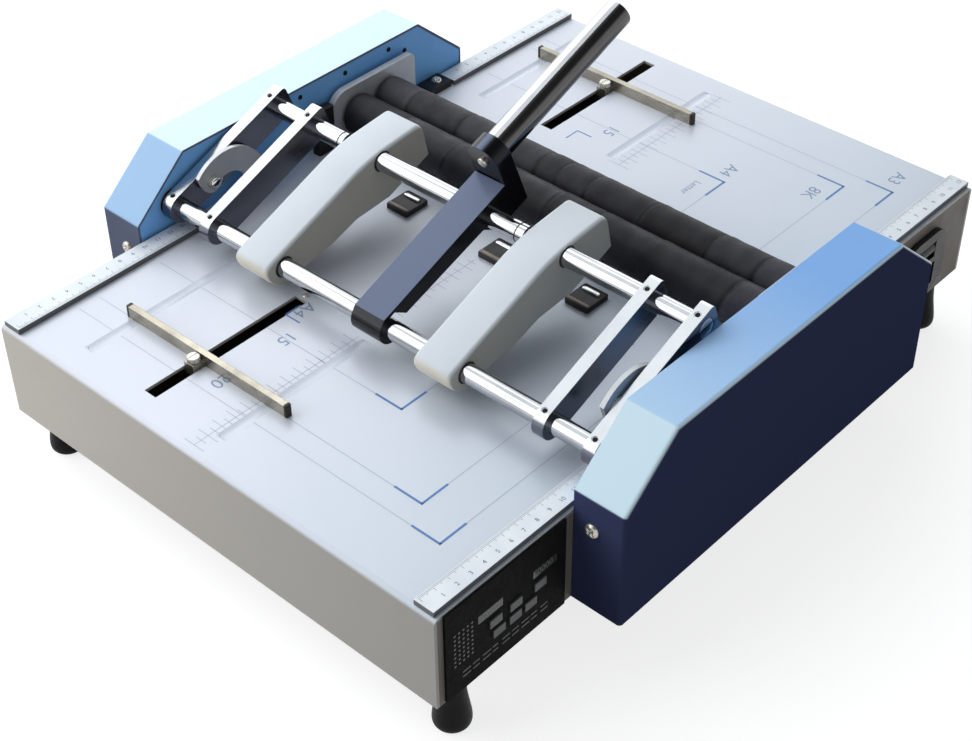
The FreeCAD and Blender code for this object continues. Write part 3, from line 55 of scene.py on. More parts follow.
# camera
camera = {
    "place": (0.6016, -0.6765, 0.7658),
    "right": (0.74098816, 0.67147248, -0.00782736),
    "down": (0.42610758, -0.47916636, -0.76735385),
    "forward": (-0.5190076, 0.56526482, -0.64117611),
    "lens": 67.885,
    "sensor": 36,
    "near": 0.05,
}
cameraData = bpy.data.cameras.new("viewCamera")
cameraData.lens = camera["lens"]
cameraData.sensor_width = camera["sensor"]
cameraData.clip_start = camera["near"]
viewCamera = addObject("viewCamera", cameraData)
axes = np.array([camera["right"], -np.array(camera["down"]), -np.array(camera["forward"])]).T
turned = Matrix([list(row) for row in axes]).to_4x4()
viewCamera.matrix_world = Matrix.Translation(camera["place"]) @ turned
bpy.context.scene.camera = viewCamera
bpy.context.scene.view_settings.view_transform = "Standard"
print("camera placed")


# node helpers
def linear(color):
    # screen values 0 to 255 into linear light
    share = np.array(color) / 255
    low = share / 12.92
    high = ((share + 0.055) / 1.055) ** 2.4
    return tuple(float(v) for v in np.where(share <= 0.04045, low, high)) + (1.0,)


def addNode(tree, kind, values=None, **settings):
    # values are for the node's inputs, settings for the node itself
    made = tree.nodes.new(kind)
    for key, value in settings.items():
        setattr(made, key, value)
    for key, value in (values or {}).items():
        made.inputs[key].default_value = value
    return made


def mixColors(tree, share, first, second):
    # a tuple of three is a colour on screen, one of four is in linear light already
    mixer = addNode(tree, "ShaderNodeMix", data_type="RGBA")
    tree.links.new(share, mixer.inputs["Factor"])
    for socket, value in ((mixer.inputs["A"], first), (mixer.inputs["B"], second)):
        if isinstance(value, tuple):
            socket.default_value = linear(value) if len(value) == 3 else value
        else:
            tree.links.new(value, socket)
    return mixer.outputs["Result"]


def mixNumbers(tree, share, first, second):
    # first where share is 0, second where it is 1
    mixer = addNode(tree, "ShaderNodeMix")
    for socket, value in ((0, share), (2, first), (3, second)):
        if isinstance(value, float):
            mixer.inputs[socket].default_value = value
        else:
            tree.links.new(value, mixer.inputs[socket])
    return mixer.outputs[0]


def combine(tree, operation, *sources, kind="ShaderNodeMath"):
    # one number worked out from the sources
    made = addNode(tree, kind, operation=operation)
    for source, socket in zip(sources, made.inputs):
        tree.links.new(source, socket)
    return made.outputs["Value"]


def spread(tree, value, low, high, newLow, newHigh):
    # low to high becomes newLow to newHigh, and stays there beyond
    ranger = addNode(tree, "ShaderNodeMapRange", {
        "From Min": low, "From Max": high, "To Min": newLow, "To Max": newHigh})
    tree.links.new(value, ranger.inputs["Value"])
    return ranger.outputs["Result"]


def parted(tree, kind, output):
    # a new node's vector, split into x, y and z
    split = addNode(tree, "ShaderNodeSeparateXYZ")
    tree.links.new(addNode(tree, kind).outputs[output], split.inputs["Vector"])
    return split.outputs


# finishes: what isn't given is as in plainFinish; round, the edge radius, and deep, the
# bump's depth, are in millimetres; the names with At have the ends between which the two
# noises, the cosine of the rounded edge to the face, and the noises' sum take effect
plainFinish = {
    "color": (180, 180, 180), "other": (170, 170, 170), "patch": 30, "fine": 900,
    "stretch": (1, 1, 1), "metal": 0, "rough": 0.4, "roughSpread": 0.1, "bump": 0.05,
    "round": 0.4, "wear": 0.3, "worn": (215, 215, 215), "coat": 0, "specular": 0.5,
    "tint": (255, 255, 255), "coatRough": 0.08, "smoothest": 0.02, "deep": 0.2,
    "wearLeast": 0.3, "patchAt": (0.35, 0.65), "grainAt": (0.4, 0.6),
    "edgeAt": (0.985, 0.75), "mottleAt": (0.75, 1.25),
}


def makeFinish(name, changes):
    # patches of two near tones, fine grain in the bump, rubbed edges from a rounded normal
    s = {**plainFinish, **changes}
    material = bpy.data.materials.new(name)
    material.use_nodes = True
    tree = material.node_tree
    link = tree.links.new
    shader = tree.nodes["Principled BSDF"].inputs
    place = addNode(tree, "ShaderNodeTexCoord").outputs["Object"]
    patches = addNode(tree, "ShaderNodeTexNoise",
                      {"Scale": s["patch"], "Detail": 4, "Roughness": 0.6})
    link(place, patches.inputs["Vector"])
    stretched = addNode(tree, "ShaderNodeMapping", {"Scale": s["stretch"]})
    link(place, stretched.inputs["Vector"])
    grains = addNode(tree, "ShaderNodeTexNoise",
                     {"Scale": s["fine"], "Detail": 3, "Roughness": 0.55})
    link(stretched.outputs["Vector"], grains.inputs["Vector"])
    patch, grain = patches.outputs["Fac"], grains.outputs["Fac"]
    tone = mixColors(tree, spread(tree, patch, *s["patchAt"], 0, 1), s["color"], s["other"])
    rounded = addNode(tree, "ShaderNodeBevel", {"Radius": s["round"] * millimetre},
                      samples=4).outputs["Normal"]
    flat = addNode(tree, "ShaderNodeNewGeometry").outputs["Normal"]
    bent = combine(tree, "DOT_PRODUCT", rounded, flat, kind="ShaderNodeVectorMath")
    edge = spread(tree, bent, *s["edgeAt"], 0, s["wear"])
    uneven = spread(tree, grain, *s["grainAt"], s["wearLeast"], 1)
    rubbed = combine(tree, "MULTIPLY", edge, uneven)
    link(mixColors(tree, rubbed, tone, s["worn"]), shader["Base Color"])
    roughLow = max(s["smoothest"], s["rough"] - s["roughSpread"])
    roughHigh = min(1, s["rough"] + s["roughSpread"])
    mottled = combine(tree, "ADD", patch, grain)
    link(spread(tree, mottled, *s["mottleAt"], roughLow, roughHigh), shader["Roughness"])
    bump = addNode(tree, "ShaderNodeBump",
                   {"Strength": s["bump"], "Distance": s["deep"] * millimetre})
    link(grain, bump.inputs["Height"])
    link(rounded, bump.inputs["Normal"])
    link(bump.outputs["Normal"], shader["Normal"])
    for socket, value in (("Metallic", s["metal"]), ("Coat Weight", s["coat"]),
                          ("Coat Roughness", s["coatRough"]),
                          ("Specular IOR Level", s["specular"]),
                          ("Specular Tint", linear(s["tint"]))):
        shader[socket].default_value = value
    return material


finishSettings = {
    # sheet metal, mouldings and paint
    "sheetGrey": {"color": (132, 125, 117), "other": (122, 115, 107), "rough": 0.5,
                  "bump": 0.06, "worn": (206, 200, 192), "specular": 0.25},
    "tableSilver": {"color": (212, 217, 228), "other": (206, 212, 223), "patch": 6,
                    "fine": 200, "metal": 0.1, "rough": 0.32, "roughSpread": 0.02,
                    "bump": 0.008, "wear": 0.12, "worn": (238, 240, 244)},
    "wallBlue": {"color": (132, 196, 255), "other": (122, 186, 252), "patch": 14,
                 "fine": 1200, "rough": 0.38, "bump": 0.04, "worn": (150, 190, 230),
                 "specular": 0.25},
    # the covers' lighter worn tone on their edges is partly wear and partly a painted highlight
    # along them
    "coverBlue": {"color": (133, 180, 236), "other": (127, 174, 230), "patch": 5,
                  "rough": 0.26, "roughSpread": 0.05, "bump": 0.03, "wear": 0.2,
                  "worn": (150, 190, 230), "specular": 0.035, "tint": (140, 170, 255)},
    "armCream": {"color": (214, 222, 229), "other": (208, 216, 223), "patch": 10,
                 "rough": 0.34, "roughSpread": 0.06, "bump": 0.06, "wear": 0.2,
                 "worn": (238, 239, 234), "specular": 0.4},
    "leverBlack": {"color": (8, 8, 10), "other": (12, 12, 14), "patch": 18, "rough": 0.2,
                   "roughSpread": 0.05, "bump": 0.02, "wear": 0.15, "worn": (70, 76, 90),
                   "specular": 0.3, "tint": (235, 240, 255)},
    # rubber and plastic
    "footRubber": {"color": (10, 10, 11), "other": (17, 17, 18), "rough": 0.5, "bump": 0.1,
                   "worn": (34, 34, 36), "specular": 0.12},
    "rollerRubber": {"color": (42, 42, 48), "other": (33, 33, 39), "patch": 45,
                     "fine": 800, "rough": 0.55, "bump": 0.2, "wear": 0.1,
                     "worn": (64, 64, 70), "specular": 0.22},
    "gearPlastic": {"color": (222, 218, 202), "other": (210, 205, 188), "rough": 0.45,
                    "bump": 0.06, "worn": (236, 233, 222)},
    "capBrown": {"color": (54, 44, 37), "other": (44, 36, 31), "rough": 0.5, "bump": 0.08,
                 "worn": (96, 84, 74), "specular": 0.3},
    "inletBlack": {"color": (15, 15, 17), "other": (22, 22, 24), "rough": 0.42,
                   "bump": 0.1, "worn": (56, 56, 58), "specular": 0.35},
    "panelBlack": {"color": (18, 18, 18), "other": (28, 28, 28), "patch": 90, "fine": 420,
                   "rough": 0.6, "bump": 0.12, "worn": (58, 58, 60), "specular": 0.03},
    "displayGlass": {"color": (80, 82, 84), "other": (64, 66, 68), "rough": 0.2,
                     "bump": 0.02, "worn": (96, 98, 100)},
    "keyGrey": {"color": (98, 99, 100), "other": (82, 83, 84), "rough": 0.45,
                "bump": 0.06, "worn": (132, 133, 134)},
    "boardGreen": {"color": (30, 84, 50), "other": (24, 72, 42), "bump": 0.06},
    "guideClear": {"color": (201, 209, 221), "other": (194, 203, 216), "rough": 0.22,
                   "wear": 0.1, "round": 0.1, "bump": 0.02, "coat": 0.2},
    # steel, chrome, brass and bronze
    "screwSteel": {"color": (214, 211, 203), "other": (190, 187, 180), "metal": 0.75,
                   "rough": 0.24, "fine": 1000, "bump": 0.06, "worn": (225, 225, 220)},
    "screwBlack": {"color": (12, 12, 14), "other": (20, 20, 23), "rough": 0.5,
                   "bump": 0.08, "worn": (60, 60, 64), "specular": 0.15},
    "rulerWhite": {"color": (224, 230, 236), "other": (214, 221, 228), "metal": 0.1,
                   "stretch": (1, 0.05, 1), "bump": 0.03, "worn": (240, 243, 246)},
    "plateSteel": {"color": (204, 207, 210), "other": (188, 191, 195), "patch": 22,
                   "metal": 0.3, "roughSpread": 0.06, "fine": 700, "stretch": (1, 0.1, 1),
                   "bump": 0.015, "worn": (216, 218, 220)},
    "bushBronze": {"color": (176, 132, 72), "other": (150, 108, 58), "metal": 1,
                   "rough": 0.34, "worn": (214, 176, 112)},
    "shaftSteel": {"color": (170, 172, 175), "other": (150, 152, 155), "metal": 1,
                   "rough": 0.2, "stretch": (0.05, 1, 1), "worn": (220, 220, 220)},
    "motorMetal": {"color": (150, 152, 152), "other": (126, 128, 128), "metal": 0.85,
                   "rough": 0.36, "stretch": (0.1, 1, 1), "worn": (205, 206, 206)},
    "rodChrome": {"color": (184, 186, 189), "other": (170, 172, 176), "patch": 40,
                  "metal": 1, "rough": 0.08, "roughSpread": 0.03, "bump": 0.01,
                  "stretch": (0.04, 1, 1), "wear": 0.08, "worn": (225, 225, 225)},
    "barSteel": {"color": (200, 204, 207), "other": (188, 192, 196), "patch": 26,
                 "metal": 1, "rough": 0.2, "roughSpread": 0.06, "bump": 0.03, "fine": 800,
                 "stretch": (1, 0.06, 1), "worn": (225, 227, 230)},
    "springSteel": {"color": (120, 122, 126), "other": (96, 98, 102), "metal": 1,
                    "rough": 0.3},
    "headSteel": {"color": (132, 134, 138), "other": (104, 106, 110), "metal": 1,
                  "rough": 0.3, "bump": 0.06, "worn": (206, 207, 208)},
    "clinchDark": {"color": (44, 41, 42), "other": (32, 30, 32), "patch": 60,
                   "metal": 0.3, "worn": (140, 134, 128)},
    "clinchLip": {"color": (142, 130, 120), "other": (118, 107, 98), "patch": 60,
                  "metal": 0.2, "rough": 0.35, "worn": (200, 196, 190)},
    "clinchChrome": {"color": (214, 216, 218), "other": (196, 198, 202), "patch": 60,
                     "metal": 1, "rough": 0.16, "bump": 0.03, "worn": (236, 236, 236)},
    "stopBrass": {"color": (166, 160, 147), "other": (140, 134, 122), "patch": 40,
                  "metal": 0.9, "rough": 0.28, "bump": 0.04, "stretch": (0.06, 1, 1),
                  "worn": (236, 230, 216)},
    "collarDark": {"color": (30, 31, 34), "other": (44, 46, 50), "metal": 0.4,
                   "rough": 0.35, "worn": (110, 112, 114)},
}
# printing inks: two tones and the roughness
inkSettings = {
    "markBlue": ((64, 112, 176), (80, 126, 186), 0.42),
    "markPale": ((116, 138, 172), (132, 152, 184), 0.42),
    "markGrey": ((146, 160, 178), (160, 172, 188), 0.42),
    "markInk": ((70, 80, 98), (92, 102, 120), 0.45),
    "markLight": ((118, 120, 118), (78, 80, 78), 0.45),
}
for name, (color, other, rough) in inkSettings.items():
    finishSettings[name] = {"color": color, "other": other, "rough": rough, "wear": 0,
                            "round": 0.01, "bump": 0.02}
# the handle gets its own copy of the rods' chrome, to carry a painted dark reflection on its side
# facing +x
finishSettings["handleChrome"] = finishSettings["rodChrome"]
finishes = {name: makeFinish(name, changes) for name, changes in finishSettings.items()}


# second tones, by the way a face looks and by its place
def paintOver(material, make):
    # puts a step between the finish's own tone and the shader
    tree = material.node_tree
    shader = tree.nodes["Principled BSDF"]
    tone = shader.inputs["Base Color"].links[0].from_socket
    tree.links.new(make(tone), shader.inputs["Base Color"])


def paintFacing(material, axis, start, whole, color, most=1):
    # another tone from where the normal's part along the axis is at start, full at whole
    tree = material.node_tree
    normal = parted(tree, "ShaderNodeNewGeometry", "Normal")
    share = spread(tree, normal[axis], start, whole, 0, most)
    paintOver(material, lambda tone: mixColors(tree, share, tone, color))


# painted shade on the upright sides of the bars and rulers; a painted dark reflection on the
# handle's side facing +x; a painted sky reflection on the lever's top
facingTones = {
    "barSteel": ("Z", 0.7, 0.4, (112, 114, 124)),
    "rulerWhite": ("Z", 0.7, 0.3, (96, 96, 100)),
    # painted dark reflection: the handle's side facing +x darkened
    "handleChrome": ("X", 0.3, 0.5, (58, 54, 52), 0.85),
    # painted sky reflection: the lever's upward faces turned blue-grey
    "leverBlack": ("Z", 0.9, 0.93, (106, 117, 143)),
}
# where a tone starts and where it is whole: by the normal, or by the place in metres
# the arms' sides: a darker, warmer tone as painted shade
armPaint = {"side": (184, 181, 170), "nose": (232, 226, 208), "sideAt": (0.75, 0.1),
            "noseAt": (-0.3, -0.8)}
# the table: painted shade to the right on top and on the bent-down front, whose warm tone is
# painted warm light
tablePaint = {"dull": (192, 203, 214), "dullAt": (-0.02, 0.2), "bentAt": (0.7, 0.3),
              "frontLeft": (202, 196, 186), "frontRight": (169, 166, 160),
              "frontAcross": (-0.17, 0.17)}
rollerPaint = {"darkest": 0.1, "palest": 1.9}
# the covers: pale painted highlight on the upward faces, strongest on the left cover's top and the
# right cover's front; navy painted shade on the upright faces
coverPaint = {"pale": (226, 249, 255), "navyLeft": (112, 120, 144),
              "navyRight": (68, 75, 112), "shine": 0.1, "leftAt": (0.02, -0.02),
              "upwardAt": (0.25, 0.6), "levelAt": (0.74, 0.96), "leftFade": (0.3, 1),
              "rightSlope": 0.9, "rightTop": (0.5, 0), "rightAlong": (-0.12, 0.05)}


def paintArm(material):
    # pale enamel on top, creamy on the nose, and the sides painted darker and warmer as painted
    # shade
    tree = material.node_tree
    normal = parted(tree, "ShaderNodeNewGeometry", "Normal")
    nose = spread(tree, normal["Y"], *armPaint["noseAt"], 0, 1)
    side = mixColors(tree, nose, armPaint["side"], armPaint["nose"])
    paintFacing(material, "Z", *armPaint["sideAt"], side)


def paintTable(material):
    # cool on top, with painted shade growing to the right; where the sheet is bent down it is
    # painted warm, as warm light falling there, and painted shade grows to the right there too
    s = tablePaint
    tree = material.node_tree
    across = parted(tree, "ShaderNodeTexCoord", "Object")["X"]
    dull = spread(tree, across, *s["dullAt"], 0, 1)
    paintOver(material, lambda tone: mixColors(tree, dull, tone, s["dull"]))
    right = spread(tree, across, *s["frontAcross"], 0, 1)
    front = mixColors(tree, right, s["frontLeft"], s["frontRight"])
    paintFacing(material, "Z", *s["bentAt"], front)


def paintRoller(material):
    # tone times a grey from the band attribute of the sleeve
    tree = material.node_tree
    band = addNode(tree, "ShaderNodeAttribute", attribute_name="band").outputs["Fac"]
    grey = spread(tree, band, 0, 1, rollerPaint["darkest"], rollerPaint["palest"])

    def shaded(tone):
        product = addNode(tree, "ShaderNodeMix", {"Factor": 1.0}, data_type="RGBA",
                          blend_type="MULTIPLY")
        tree.links.new(tone, product.inputs["A"])
        tree.links.new(grey, product.inputs["B"])
        return product.outputs["Result"]

    paintOver(material, shaded)


def paintCover(material):
    # painted highlight, pale, on the upward faces and painted shade, navy, on the upright ones;
    # the left top and the right front get more of the painted highlight
    s = coverPaint
    tree = material.node_tree
    up = parted(tree, "ShaderNodeNewGeometry", "Normal")["Z"]
    place = parted(tree, "ShaderNodeTexCoord", "Object")
    left = spread(tree, place["X"], *s["leftAt"], 0, 1)
    upward = spread(tree, up, *s["upwardAt"], 0, 1)
    level = spread(tree, up, *s["levelAt"], 0, 1)
    # share of painted highlight: on the right cover most on its sloped faces and less towards the
    # back of its top, on the left cover most on its level top
    top = spread(tree, place["Y"], *s["rightAlong"], *s["rightTop"])
    highlightRight = mixNumbers(tree, level, s["rightSlope"], top)
    highlightLeft = spread(tree, up, *s["levelAt"], *s["leftFade"])
    highlightShare = mixNumbers(tree, left, highlightRight, highlightLeft)

    # painted highlight over the upward faces, painted shade in navy over the upright ones
    def painted(tone):
        light = mixColors(tree, highlightShare, tone, s["pale"])
        navy = mixColors(tree, left, s["navyRight"], s["navyLeft"])
        return mixColors(tree, upward, navy, light)

    paintOver(material, painted)
    shine = tree.nodes["Principled BSDF"].inputs["Specular IOR Level"]
    tree.links.new(spread(tree, up, *s["upwardAt"], 0, s["shine"]), shine)


for name, tone in facingTones.items():
    paintFacing(finishes[name], *tone)
paintArm(finishes["armCream"])
paintTable(finishes["tableSilver"])
paintRoller(finishes["rollerRubber"])
paintCover(finishes["coverBlue"])


def finishOfSlot(slot):
    # sheet_grey takes the finish sheetGrey, and so on; two slots go by another name
    first, *rest = slot.split("_")
    sameName = first + "".join(word.capitalize() for word in rest)
    return finishes[{"ruler": "rulerWhite", "display": "displayGlass"}.get(slot, sameName)]


for row in frame["record"]["subparts"]:
    materials = frame["nodes"][row["node"]].data.materials
    materials.clear()
    materials.append(finishOfSlot(row["material_slot"]))
print("finishes ready")


# mesh helpers; points nearer than the first are merged, edges shorter than the second go
mergeWithin = 0.002 * millimetre
shortestEdge = 0.0005 * millimetre


def finishMesh(name, points, faces, finish, body, sharp, attribute=None):
    # one object at the origin from points in millimetres
    mesh = bpy.data.meshes.new(name)
    mesh.from_pydata((np.asarray(points) * millimetre).tolist(), [], faces)
    if attribute is not None:
        tones = mesh.attributes.new(attribute[0], "FLOAT", "POINT")
        tones.data.foreach_set("value", np.asarray(attribute[1], np.float32))
    shell = bmesh.new()
    shell.from_mesh(mesh)
    bmesh.ops.remove_doubles(shell, verts=shell.verts, dist=mergeWithin)
    bmesh.ops.dissolve_degenerate(shell, edges=shell.edges, dist=shortestEdge)
    bmesh.ops.recalc_face_normals(shell, faces=shell.faces)
    shell.to_mesh(mesh)
    shell.free()
    mesh.polygons.foreach_set("use_smooth", np.ones(len(mesh.polygons), bool))
    mesh.set_sharp_from_angle(angle=math.radians(sharp))
    mesh.materials.append(finishes[finish])
    piece = addObject(name, mesh)
    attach(piece, body)
    return piece


def gridFaces(rows, columns, closed=False, start=0):
    # quads over a grid of points; each row is a loop, and where closed the last row meets
    # the first
    across = np.arange(rows if closed else rows - 1)[:, None]
    along = np.arange(columns)[None, :]
    nextRow = (across + 1) % rows
    nextColumn = (along + 1) % columns
    corners = [across * columns + along, across * columns + nextColumn,
               nextRow * columns + nextColumn, nextRow * columns + along]
    quads = np.stack([np.broadcast_to(c, (across.size, along.size)) for c in corners], -1)
    return (quads.reshape(-1, 4) + start).tolist()


def addPiece(name, grids, finish, body, sharp=30, closed=False, standsFor=None):
    # several grids of points as one piece, which may stand for a CAD node
    points, faces, count = [], [], 0
    for grid in grids:
        points.append(grid.reshape(-1, 3))
        faces += gridFaces(grid.shape[0], grid.shape[1], closed, count)
        count += len(points[-1])
    piece = finishMesh(name, np.concatenate(points), faces, finish, body, sharp)
    if standsFor:
        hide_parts(standsFor)
    return piece


def roundedCorners(corners, radius, steps=6, closed=True):
    # each corner gives way to a quadratic curve that starts and ends at reach from it on
    # its two sides, with the corner itself as the middle control point
    spots = np.asarray(corners, float)
    before = np.roll(spots, 1, 0) - spots
    after = np.roll(spots, -1, 0) - spots
    lengthBefore = np.linalg.norm(before, axis=1)
    lengthAfter = np.linalg.norm(after, axis=1)
    most = 0.49 * np.minimum(lengthBefore, lengthAfter)
    reach = np.minimum(np.asarray(radius, float), most)[:, None]
    start = spots + before / lengthBefore[:, None] * reach
    end = spots + after / lengthAfter[:, None] * reach
    share = np.linspace(0, 1, steps)[None, :, None]
    bend = ((1 - share) ** 2 * start[:, None] + 2 * share * (1 - share) * spots[:, None]
            + share ** 2 * end[:, None])
    if not closed:
        return np.concatenate([spots[:1], bend[1:-1].reshape(-1, 2), spots[-1:]])
    return bend.reshape(-1, 2)


def revolved(profile, centre, axis, side, steps=48):
    # (distance along the axis, radius) carried round the axis; the angle starts at side
    profile = np.asarray(profile, float)
    angle = np.linspace(0, 2 * np.pi, steps, endpoint=False)
    axis = np.asarray(axis, float)
    side = np.asarray(side, float)
    other = np.cross(axis, side)
    ring = np.cos(angle)[:, None] * side + np.sin(angle)[:, None] * other
    return (np.asarray(centre, float) + profile[:, None, :1] * axis
            + profile[:, None, 1:2] * ring[None])


def softRim(end, radius, edge, steps):
    # (distance along the axis, radius) of a quarter turn from the side onto the flat end
    turn = np.linspace(0, np.pi / 2, steps)
    return [(end - edge * (1 - math.sin(a)), radius - edge * (1 - math.cos(a)))
            for a in turn]


def softBlock(centre, size, edge):
    # a block with rounded edges: its outline a rounded rectangle drawn in towards the top
    # by a quarter turn, the top then closed towards the middle
    wide, deep, tall = size
    corners = [(-wide / 2, -deep / 2), (wide / 2, -deep / 2),
               (wide / 2, deep / 2), (-wide / 2, deep / 2)]
    outline = roundedCorners(corners, 2 * edge, 6)
    rows = [(1.0, 0.0, 0.0)]
    rows += [(1.0, edge * (1 - math.cos(a)), tall - edge * (1 - math.sin(a)))
             for a in np.linspace(0, np.pi / 2, 5)]
    rows += [(share, edge, tall) for share in (0.8, 0.6, 0.4, 0.2, 0.0)]
    grid = [np.zeros((len(outline), 3))]
    for share, inset, level in rows:
        drawn = np.sign(outline) * np.maximum(np.abs(outline) - inset, 0) * share
        grid.append(np.column_stack([drawn, np.full(len(outline), level)]))
    return np.stack(grid) + np.asarray(centre, float)


# the press frame's own directions: u up the bars, w square to them
hinge = {"y": -117, "z": 121.8, "tilt": math.radians(21.2)}
alongBars = np.array([0, math.cos(hinge["tilt"]), math.sin(hinge["tilt"])])
overBars = np.array([0, -math.sin(hinge["tilt"]), math.cos(hinge["tilt"])])
acrossBars = np.array([1.0, 0, 0])


def tilted(points):
    # x, u, w into x, y, z
    points = np.asarray(points, float)
    return (np.array([0, hinge["y"], hinge["z"]]) + points[..., :1] * acrossBars
            + points[..., 1:2] * alongBars + points[..., 2:3] * overBars)


# rollers: rubber sleeves wrapped in bands
rollerSizes = {
    "radius": 14.25, "half": 163.3, "bore": 5.1, "edge": 1.4, "axleZ": 120, "sunk": 0.16,
    "lap": 0.3, "lapFades": 14, "lean": 3.0, "groove": 0.2, "grooveHalf": 0.9,
    "phases": (0, 6), "waves": (0.37, 0.11), "creases": 0.9, "creaseFades": 6,
    "foldFades": 9, "jointFold": 0.14, "plainFold": 0.06, "creaseFold": 0.05,
    # the fold tone is painted shade that follows the folds of the sleeve
    "tones": (0.22, 0.85), "endTone": 1.1, "jointTone": 1.5, "foldTone": 0.07,
    "rows": 420, "steps": 72, "rimRows": 6,
    "front": {"y": 34.05, "seed": 3, "joints": (-121, -74, -31, 9, 41, 84, 143)},
    "rear": {"y": 62.95, "seed": 8, "joints": (-132, -88, -52, -21, -4, 19, 63, 112, 146)},
}


def rollerSleeve(which):
    # radius = outer radius less lap, plus a lap that fades behind each joint, less a
    # groove at it, plus low folds, less sunk; a joint's place leans: joint + lean
    # sin(angle); tone = that of the band, dark at its joints, with painted shade that
    # follows the folds: darker in their dips and creases, lighter on their crests
    s = rollerSizes
    random = np.random.default_rng(s[which]["seed"])
    flat = s["half"] - s["edge"]
    along = np.linspace(-flat, flat, s["rows"])[:, None]
    angle = np.linspace(0, 2 * np.pi, s["steps"], endpoint=False)[None, :]
    lean = s["lean"] * np.sin(angle + random.uniform(*s["phases"]))
    joints = np.array(s[which]["joints"], float)
    tones = random.uniform(*s["tones"], len(joints) + 1)
    tones[-1] = s["endTone"]
    gap = (along + 0 * angle)[..., None] - (joints + lean[..., None])
    order = (gap > 0).sum(-1)
    nearest = np.abs(gap).min(-1)
    behind = np.where(gap > 0, gap, np.inf).min(-1)
    lap = s["lap"] * np.exp(-behind / s["lapFades"])
    groove = s["groove"] * np.exp(-(nearest / s["grooveHalf"]) ** 2)
    short, long = s["waves"]
    waves = (np.sin(along * short + 2 * angle + random.uniform(*s["phases"]))
             * np.sin(along * long - angle + random.uniform(*s["phases"])))
    creases = (np.sin(along * s["creases"] + 3 * angle + 2 * waves)
               * np.exp(-nearest / s["creaseFades"]))
    folds = (s["jointFold"] * waves * np.exp(-nearest / s["foldFades"])
             + s["plainFold"] * waves + s["creaseFold"] * creases)
    radius = s["radius"] - s["lap"] + lap - groove + folds - s["sunk"]
    radius = np.minimum(radius, s["radius"])
    rim = np.linspace(0, np.pi / 2, s["rimRows"])[:, None]
    shoulder = s["edge"] * (1 - np.cos(rim))
    outward = s["edge"] * np.sin(rim)

    def rows(x, reach):
        # (x, radius) all round
        return np.stack(np.broadcast_arrays(x + 0 * angle, reach + 0 * angle), -1)

    skin = np.concatenate([
        rows(-s["half"], s["bore"]), rows(-flat - outward[::-1], radius[:1] - shoulder[::-1]),
        rows(along, radius),
        rows(flat + outward, radius[-1:] - shoulder), rows(s["half"], s["bore"])])
    points = np.stack([skin[..., 0], s[which]["y"] + skin[..., 1] * np.cos(angle),
                       s["axleZ"] + skin[..., 1] * np.sin(angle)], -1)
    tone = tones[order] * (1 - np.exp(-(nearest / s["jointTone"]) ** 2))
    # painted shade: darker where the folds and creases dip, lighter on their crests
    tone = tone + s["foldTone"] * waves + s["foldTone"] * creases
    ends = s["rimRows"] + 1
    tone = np.concatenate([np.repeat(tone[:1], ends, 0), tone, np.repeat(tone[-1:], ends, 0)])
    sleeve = finishMesh(which + "Sleeve", points.reshape(-1, 3),
                        gridFaces(points.shape[0], points.shape[1], True), "rollerRubber",
                        which + "_roller", 50, ("band", tone.reshape(-1)))
    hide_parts(which + "_roller_sleeve")


rollerSleeve("front")
rollerSleeve("rear")
print("rollers wrapped")

# staple arms: moulded shells, open below; u and w of the rim and of the open edge under it
armSizes = {
    "width": 28, "edge": 2.6, "wall": 2.2, "rows": 150, "middles": {"left": -86.5, "right": 59.5},
    "rim": [(-4, -12), (-13, -4), (-13, 9.6), (82, 9.6), (126, -3), (122, -28)],
    "rimRound": [1, 6, 9, 16, 5, 1],
    "lowU": [-4, 4, 35, 57, 84, 122], "lowW": [-12, -12, -18.6, -19.6, -28, -28],
}


def armSection(rim, low, half, inset, edge, steps=6):
    # across the arm: up one side, a quarter turn over the edge, across the top and down;
    # the inset takes at most 0.9 of the depth, and the edge 0.45 of what is left
    depth = np.linalg.norm(low - rim, axis=1)[:, None]
    toward = (low - rim) / np.maximum(depth, 1e-6)
    top = rim + toward * np.minimum(inset, 0.9 * depth)
    soft = np.minimum(edge, 0.45 * np.maximum(depth - inset, 0))
    turn = np.linspace(0, np.pi / 2, steps)
    side = (-half + soft * (1 - np.sin(turn)))[:, ::-1]
    drop = (soft * (1 - np.cos(turn)))[:, ::-1]
    end = np.full((len(rim), 1), half)
    across = np.concatenate([-end, side, -side[:, ::-1], end], 1)
    fall = np.concatenate([drop, drop[:, ::-1]], 1)
    plane = top[:, None] + toward[:, None] * fall[..., None]
    plane = np.concatenate([low[:, None], plane, low[:, None]], 1)
    return np.concatenate([across[..., None], plane], -1)


def stapleArm(middle):
    # the rim runs from the chin over the top to the heel, at even steps; below each of its
    # points lies the open edge, and the inner wall is the same section drawn in
    s = armSizes
    rim = roundedCorners(s["rim"], s["rimRound"], 10, closed=False)
    travel = np.concatenate([[0], np.cumsum(np.linalg.norm(np.diff(rim, axis=0), axis=1))])
    even = np.linspace(0, travel[-1], s["rows"])
    rim = np.stack([np.interp(even, travel, rim[:, 0]), np.interp(even, travel, rim[:, 1])], 1)
    lowU = np.clip(rim[:, 0], s["lowU"][0], s["lowU"][-1])
    low = np.stack([lowU, np.interp(lowU, s["lowU"], s["lowW"])], 1)
    half = s["width"] / 2
    outer = armSection(rim, low, half, 0, s["edge"])
    inner = armSection(rim, low, half - s["wall"], s["wall"], s["edge"] / 2)
    ring = np.concatenate([outer, inner[:, ::-1]], 1)
    ring[..., 0] += middle
    return tilted(ring)


for which, middle in armSizes["middles"].items():
    addPiece(which + "StapleArm", [stapleArm(middle)], "armCream", "press_frame",
             40, standsFor=which + "_staple_arm")
print("staple arms moulded")

